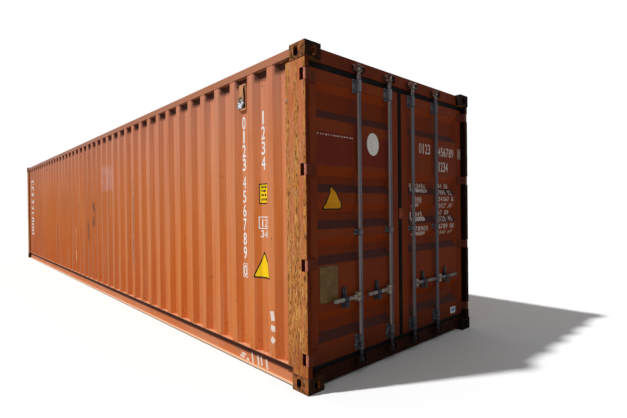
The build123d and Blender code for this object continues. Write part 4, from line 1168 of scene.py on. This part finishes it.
def gear_fasteners(looks):
    for side, name in SIDES.items():
        dice = random.Random(20 + side)
        mesh = bmesh.new()
        for across in ROD_SPOTS:
            for level, (wide, tall) in zip(BRACKET_LEVELS, BRACKET_SIZES):
                over = wide / 2 - 0.0145
                rises = (0.0,) if tall < wide / 2 else (-tall / 2 + 0.02, tall / 2 - 0.02)
                for rise in rises:
                    for shift in (-over, over):
                        bolt(mesh, dice, Vector((BRACKET_FACE, side * across + shift, level + rise)))
            spot = side * (across + RETAINER_OFFSET)
            for shift in (-0.014, 0.014):
                centre = Vector((LAND_X + 0.006, spot + shift, HANDLE_LEVEL - 0.06))
                bolt(mesh, dice, centre, 0.0062)
        make_piece(f"{name}_gear_bolts", mesh, looks["bolt"], DOORS[side])
    mesh = bmesh.new()
    for y in (-1.031, -0.843):
        for z in (0.635, 0.77, 0.905):
            rivet(mesh, Vector((LAND_X + 0.002, y, z)), 0.0035)
    make_piece("data_plate_rivets", mesh, looks["brass"], DOORS[LEFT])
    mesh = bmesh.new()
    for z in (CENTRE_PLATE_LEVEL - 0.036, CENTRE_PLATE_LEVEL + 0.036):
        bolt(mesh, random.Random(5), Vector((STILE_X + 0.005, 0.03, z)), 0.0065)
    make_piece("centre_plate_bolts", mesh, looks["bolt"], DOORS[RIGHT])


def oblong(half_wide, low, high, radius):
    corners = [(-half_wide, low), (half_wide, low), (half_wide, high), (-half_wide, high)]
    return rounded(corners, radius, 2)


def catch(mesh, middle):
    """A loop round a handle, with a tongue up the ear behind it."""
    half_thick, half_tall, wall = 0.009, 0.0145, 0.0034
    loops = []
    for reach in (-0.027, -0.0255, 0.0255, 0.027):
        grow = wall if abs(reach) < 0.026 else wall * 0.6
        outer = oblong(half_thick + grow, -half_tall - grow * 0.6, half_tall + grow, 0.005)
        inner = oblong(half_thick, -half_tall, half_tall, 0.003)
        both = (outer, inner)
        loops.append([[mesh.verts.new(middle + Vector((x, reach, z))) for x, z in loop] for loop in both])
    for first, last in zip(loops, loops[1:]):
        for layer in (0, 1):
            skin(mesh, first[layer], last[layer])
    for outer, inner in (loops[0], loops[-1]):
        skin(mesh, outer, inner)
    tongue = rounded([(-0.012, 0.014), (0.012, 0.014), (0.009, 0.044), (-0.009, 0.044)], 0.007, 3)
    layers = []
    for x in (-half_thick - wall, -half_thick - 0.0004):
        layers.append([mesh.verts.new(middle + Vector((x, y, z))) for y, z in tongue])
    skin(mesh, *layers)
    mesh.faces.new(layers[0])
    mesh.faces.new(layers[1][::-1])


def handle_catches(looks):
    """A catch round each handle at its retainer."""
    lean = {LEFT: 0.0034, RIGHT: 0.0029}
    for side, hand in SIDES.items():
        for place, across in zip(("inner", "outer"), ROD_SPOTS):
            name = f"{hand}_{place}_handle"
            mesh = bmesh.new()
            catch(mesh, Vector((ROD_X + lean[side], side * (across + RETAINER_OFFSET), HANDLE_LEVEL)))
            make_piece(f"{name}_catch", mesh, looks["catch"], name)


def bead(mesh, path, radius, dice, step=0.022, sides=6):
    """A weld bead: a ribbed tube along a run of points."""
    spots = []
    for first, last in zip(path, path[1:]):
        count = max(1, round((last - first).length / step))
        spots += [first.lerp(last, index / count) for index in range(count)]
    spots.append(path[-1])
    loops = []
    for index, spot in enumerate(spots):
        before, after = spots[max(index - 1, 0)], spots[min(index + 1, len(spots) - 1)]
        along = (after - before).normalized()
        upright = abs(along.z) > 0.9
        first = (along.orthogonal() if upright else along.cross(UP)).normalized()
        second = along.cross(first)
        size = radius * dice.uniform(0.82, 1.08) * (1.0 if index % 2 else 0.86)
        loop = []
        for side in range(sides):
            angle = 2 * math.pi * side / sides
            across = spot + first * size * math.cos(angle)
            loop.append(mesh.verts.new(across + second * size * math.sin(angle)))
        loops.append(loop)
    closed(mesh, loops)


def welds(looks):
    bends = [-WALL_END, *wall_bends(-WALL_END, WALL_END), WALL_END]
    for side, name in SIDES.items():
        dice = random.Random(40 + side)
        mesh = bmesh.new()
        for level in (WALL_LOW + 0.001, WALL_HIGH - 0.001):
            bead(mesh, [Vector((x, side * (wall_y(x) + 0.001), level)) for x in bends], 0.0032, dice)
        for x in (-WALL_END, WALL_END):
            line = [Vector((x, side * (WALL_VALLEY_Y + 0.001), level)) for level in (WALL_LOW, WALL_HIGH)]
            bead(mesh, line, 0.0035, dice)
        make_piece(f"{name}_wall_welds", mesh, looks["weld"], BODY, smooth=True)
        mesh = bmesh.new()
        for level in (0.119, 2.472):
            corners = ((5.862, 1.215), (6.0915, 1.215), (6.0915, 1.17))
            bead(mesh, [Vector((x, side * y, level)) for x, y in corners], 0.0034, dice, step=0.01)
        for low, high in ((0.016, 0.117), (2.476, 2.584)):
            bead(mesh, [Vector((STILE_X, side * 1.058, z)) for z in (low, high)], 0.0034, dice, step=0.01)
        make_piece(f"{name}_post_welds", mesh, looks["dark_weld"], BODY, smooth=True)
        mesh = bmesh.new()
        inner = 0.122 if side == LEFT else 0.126
        outline = [(inner, PANEL_LOW), (STILE_Y, PANEL_LOW), (STILE_Y, PANEL_HIGH), (inner, PANEL_HIGH)]
        corners = [*outline, outline[0]]
        bead(mesh, [Vector((LAND_X + 0.0008, side * y, z)) for y, z in corners], 0.0028, dice, step=0.012)
        make_piece(f"{name}_door_welds", mesh, looks["dark_weld"], DOORS[side], smooth=True)


def torn_vent(looks):
    """Lining hanging crumpled from the torn ventilator."""
    dice = random.Random(3)
    wave = [dice.uniform(-1, 1) for _ in range(TORN_COUNT)]

    def crumpled(x, z):
        column, row = round((x - TORN_X) / TORN_STEP), round((z - TORN_LEVEL) / TORN_STEP)
        ripple = wave[(column * 17 + row * 5) % TORN_COUNT]
        ridge = math.sin(90 * (x - TORN_X) + 30 * (z - TORN_LEVEL))
        side = x + 0.0018 * wave[(column * 7 + row * 29) % TORN_COUNT]
        level = z + 0.003 * wave[(column * 3 + row * 11) % TORN_COUNT]
        return Vector((side, -(1.203 + 0.003 * ridge + 0.0022 * ripple), level))

    def curled(x, z):
        return Vector((x, -(1.1975 + 0.006 * math.sin(18 * (z - 2.3)) ** 2), z))

    across = [5.166 + TORN_STEP * index for index in range(15)]
    flap_up = [2.253 + TORN_STEP * index for index in range(8)]
    rag_up = [2.3 + TORN_STEP * index for index in range(6)]
    strip_up = [2.31 + 0.01 * index for index in range(13)]
    flap = Marks()
    lower = [(5.164, 2.262), (5.2, 2.246), (5.234, 2.249), (5.262, 2.268), (5.282, 2.29)]
    flap.shape([*lower, (5.262, 2.301), (5.22, 2.293), (5.168, 2.303)])
    flap.lay("torn_vent_flap", looks["torn"], (BODY, crumpled, LEFT_OUT, across, flap_up), coat=TORN_COAT)
    rag = Marks()
    lower = [(5.186, 2.304), (5.214, 2.297), (5.262, 2.304)]
    rag.shape([*lower, (5.268, 2.33), (5.232, 2.344), (5.182, 2.338)])
    rag.lay("torn_vent_rag", looks["rag"], (BODY, crumpled, LEFT_OUT, across, rag_up), 0.003, TORN_COAT)
    strip = Marks()
    strip.shape([(5.252, 2.3), (5.266, 2.3), (5.262, 2.436), (5.254, 2.43)])
    strip.lay("torn_vent_strip", looks["vent"], (BODY, curled, LEFT_OUT, (), strip_up), coat=TORN_COAT)


def make_camera():
    level = math.cos(CAMERA_PITCH)
    look = Vector((level * math.cos(CAMERA_YAW), level * math.sin(CAMERA_YAW), math.sin(CAMERA_PITCH)))
    across = Vector((math.sin(CAMERA_YAW), -math.cos(CAMERA_YAW), 0.0))
    above = across.cross(look)
    right = across * math.cos(CAMERA_ROLL) + above * math.sin(CAMERA_ROLL)
    up = above * math.cos(CAMERA_ROLL) - across * math.sin(CAMERA_ROLL)
    data = bpy.data.cameras.new("camera")
    data.sensor_width = SENSOR
    data.lens = FOCAL_PIXELS * SENSOR / PHOTO_WIDTH
    data.clip_end = CAMERA_REACH
    camera = bpy.data.objects.new("camera", data)
    bpy.context.scene.collection.objects.link(camera)
    turn = Matrix((right, up, -look)).transposed().to_4x4()
    camera.matrix_world = Matrix.Translation(CAMERA_SPOT) @ turn
    bpy.context.scene.camera = camera


def make_light():
    data = bpy.data.lights.new("key", "SUN")
    data.energy = KEY_STRENGTH
    data.angle = KEY_SPREAD
    key = bpy.data.objects.new("key", data)
    key.rotation_mode = "QUATERNION"
    key.rotation_quaternion = KEY_FROM.to_track_quat("Z", "Y")
    bpy.context.scene.collection.objects.link(key)
    world = bpy.data.worlds.new("sky")
    world.use_nodes = True
    bpy.context.scene.world = world
    nodes, links = world.node_tree.nodes, world.node_tree.links
    sky = nodes["Background"]
    path = nodes.new("ShaderNodeLightPath")
    strength = nodes.new("ShaderNodeMapRange")
    strength.inputs["To Min"].default_value = SKY_STRENGTH
    strength.inputs["To Max"].default_value = 1.0
    links.new(path.outputs["Is Camera Ray"], strength.inputs["Value"])
    links.new(strength.outputs["Result"], sky.inputs["Strength"])
    sky.inputs["Color"].default_value = (1.0, 1.0, 1.0, 1.0)


def make_floor():
    bpy.ops.mesh.primitive_plane_add(size=2 * FLOOR_REACH, location=(0, 0, 0))
    floor = bpy.context.object
    floor.name = "studio_floor"
    floor.data.materials.append(floor_cover())


looks = make_materials()
dress_nodes(looks)
wall_marks(looks)
door_marks(looks)
gear_fasteners(looks)
handle_catches(looks)
welds(looks)
torn_vent(looks)
make_camera()
make_light()
make_floor()
bpy.context.scene.view_settings.view_transform = "Standard"
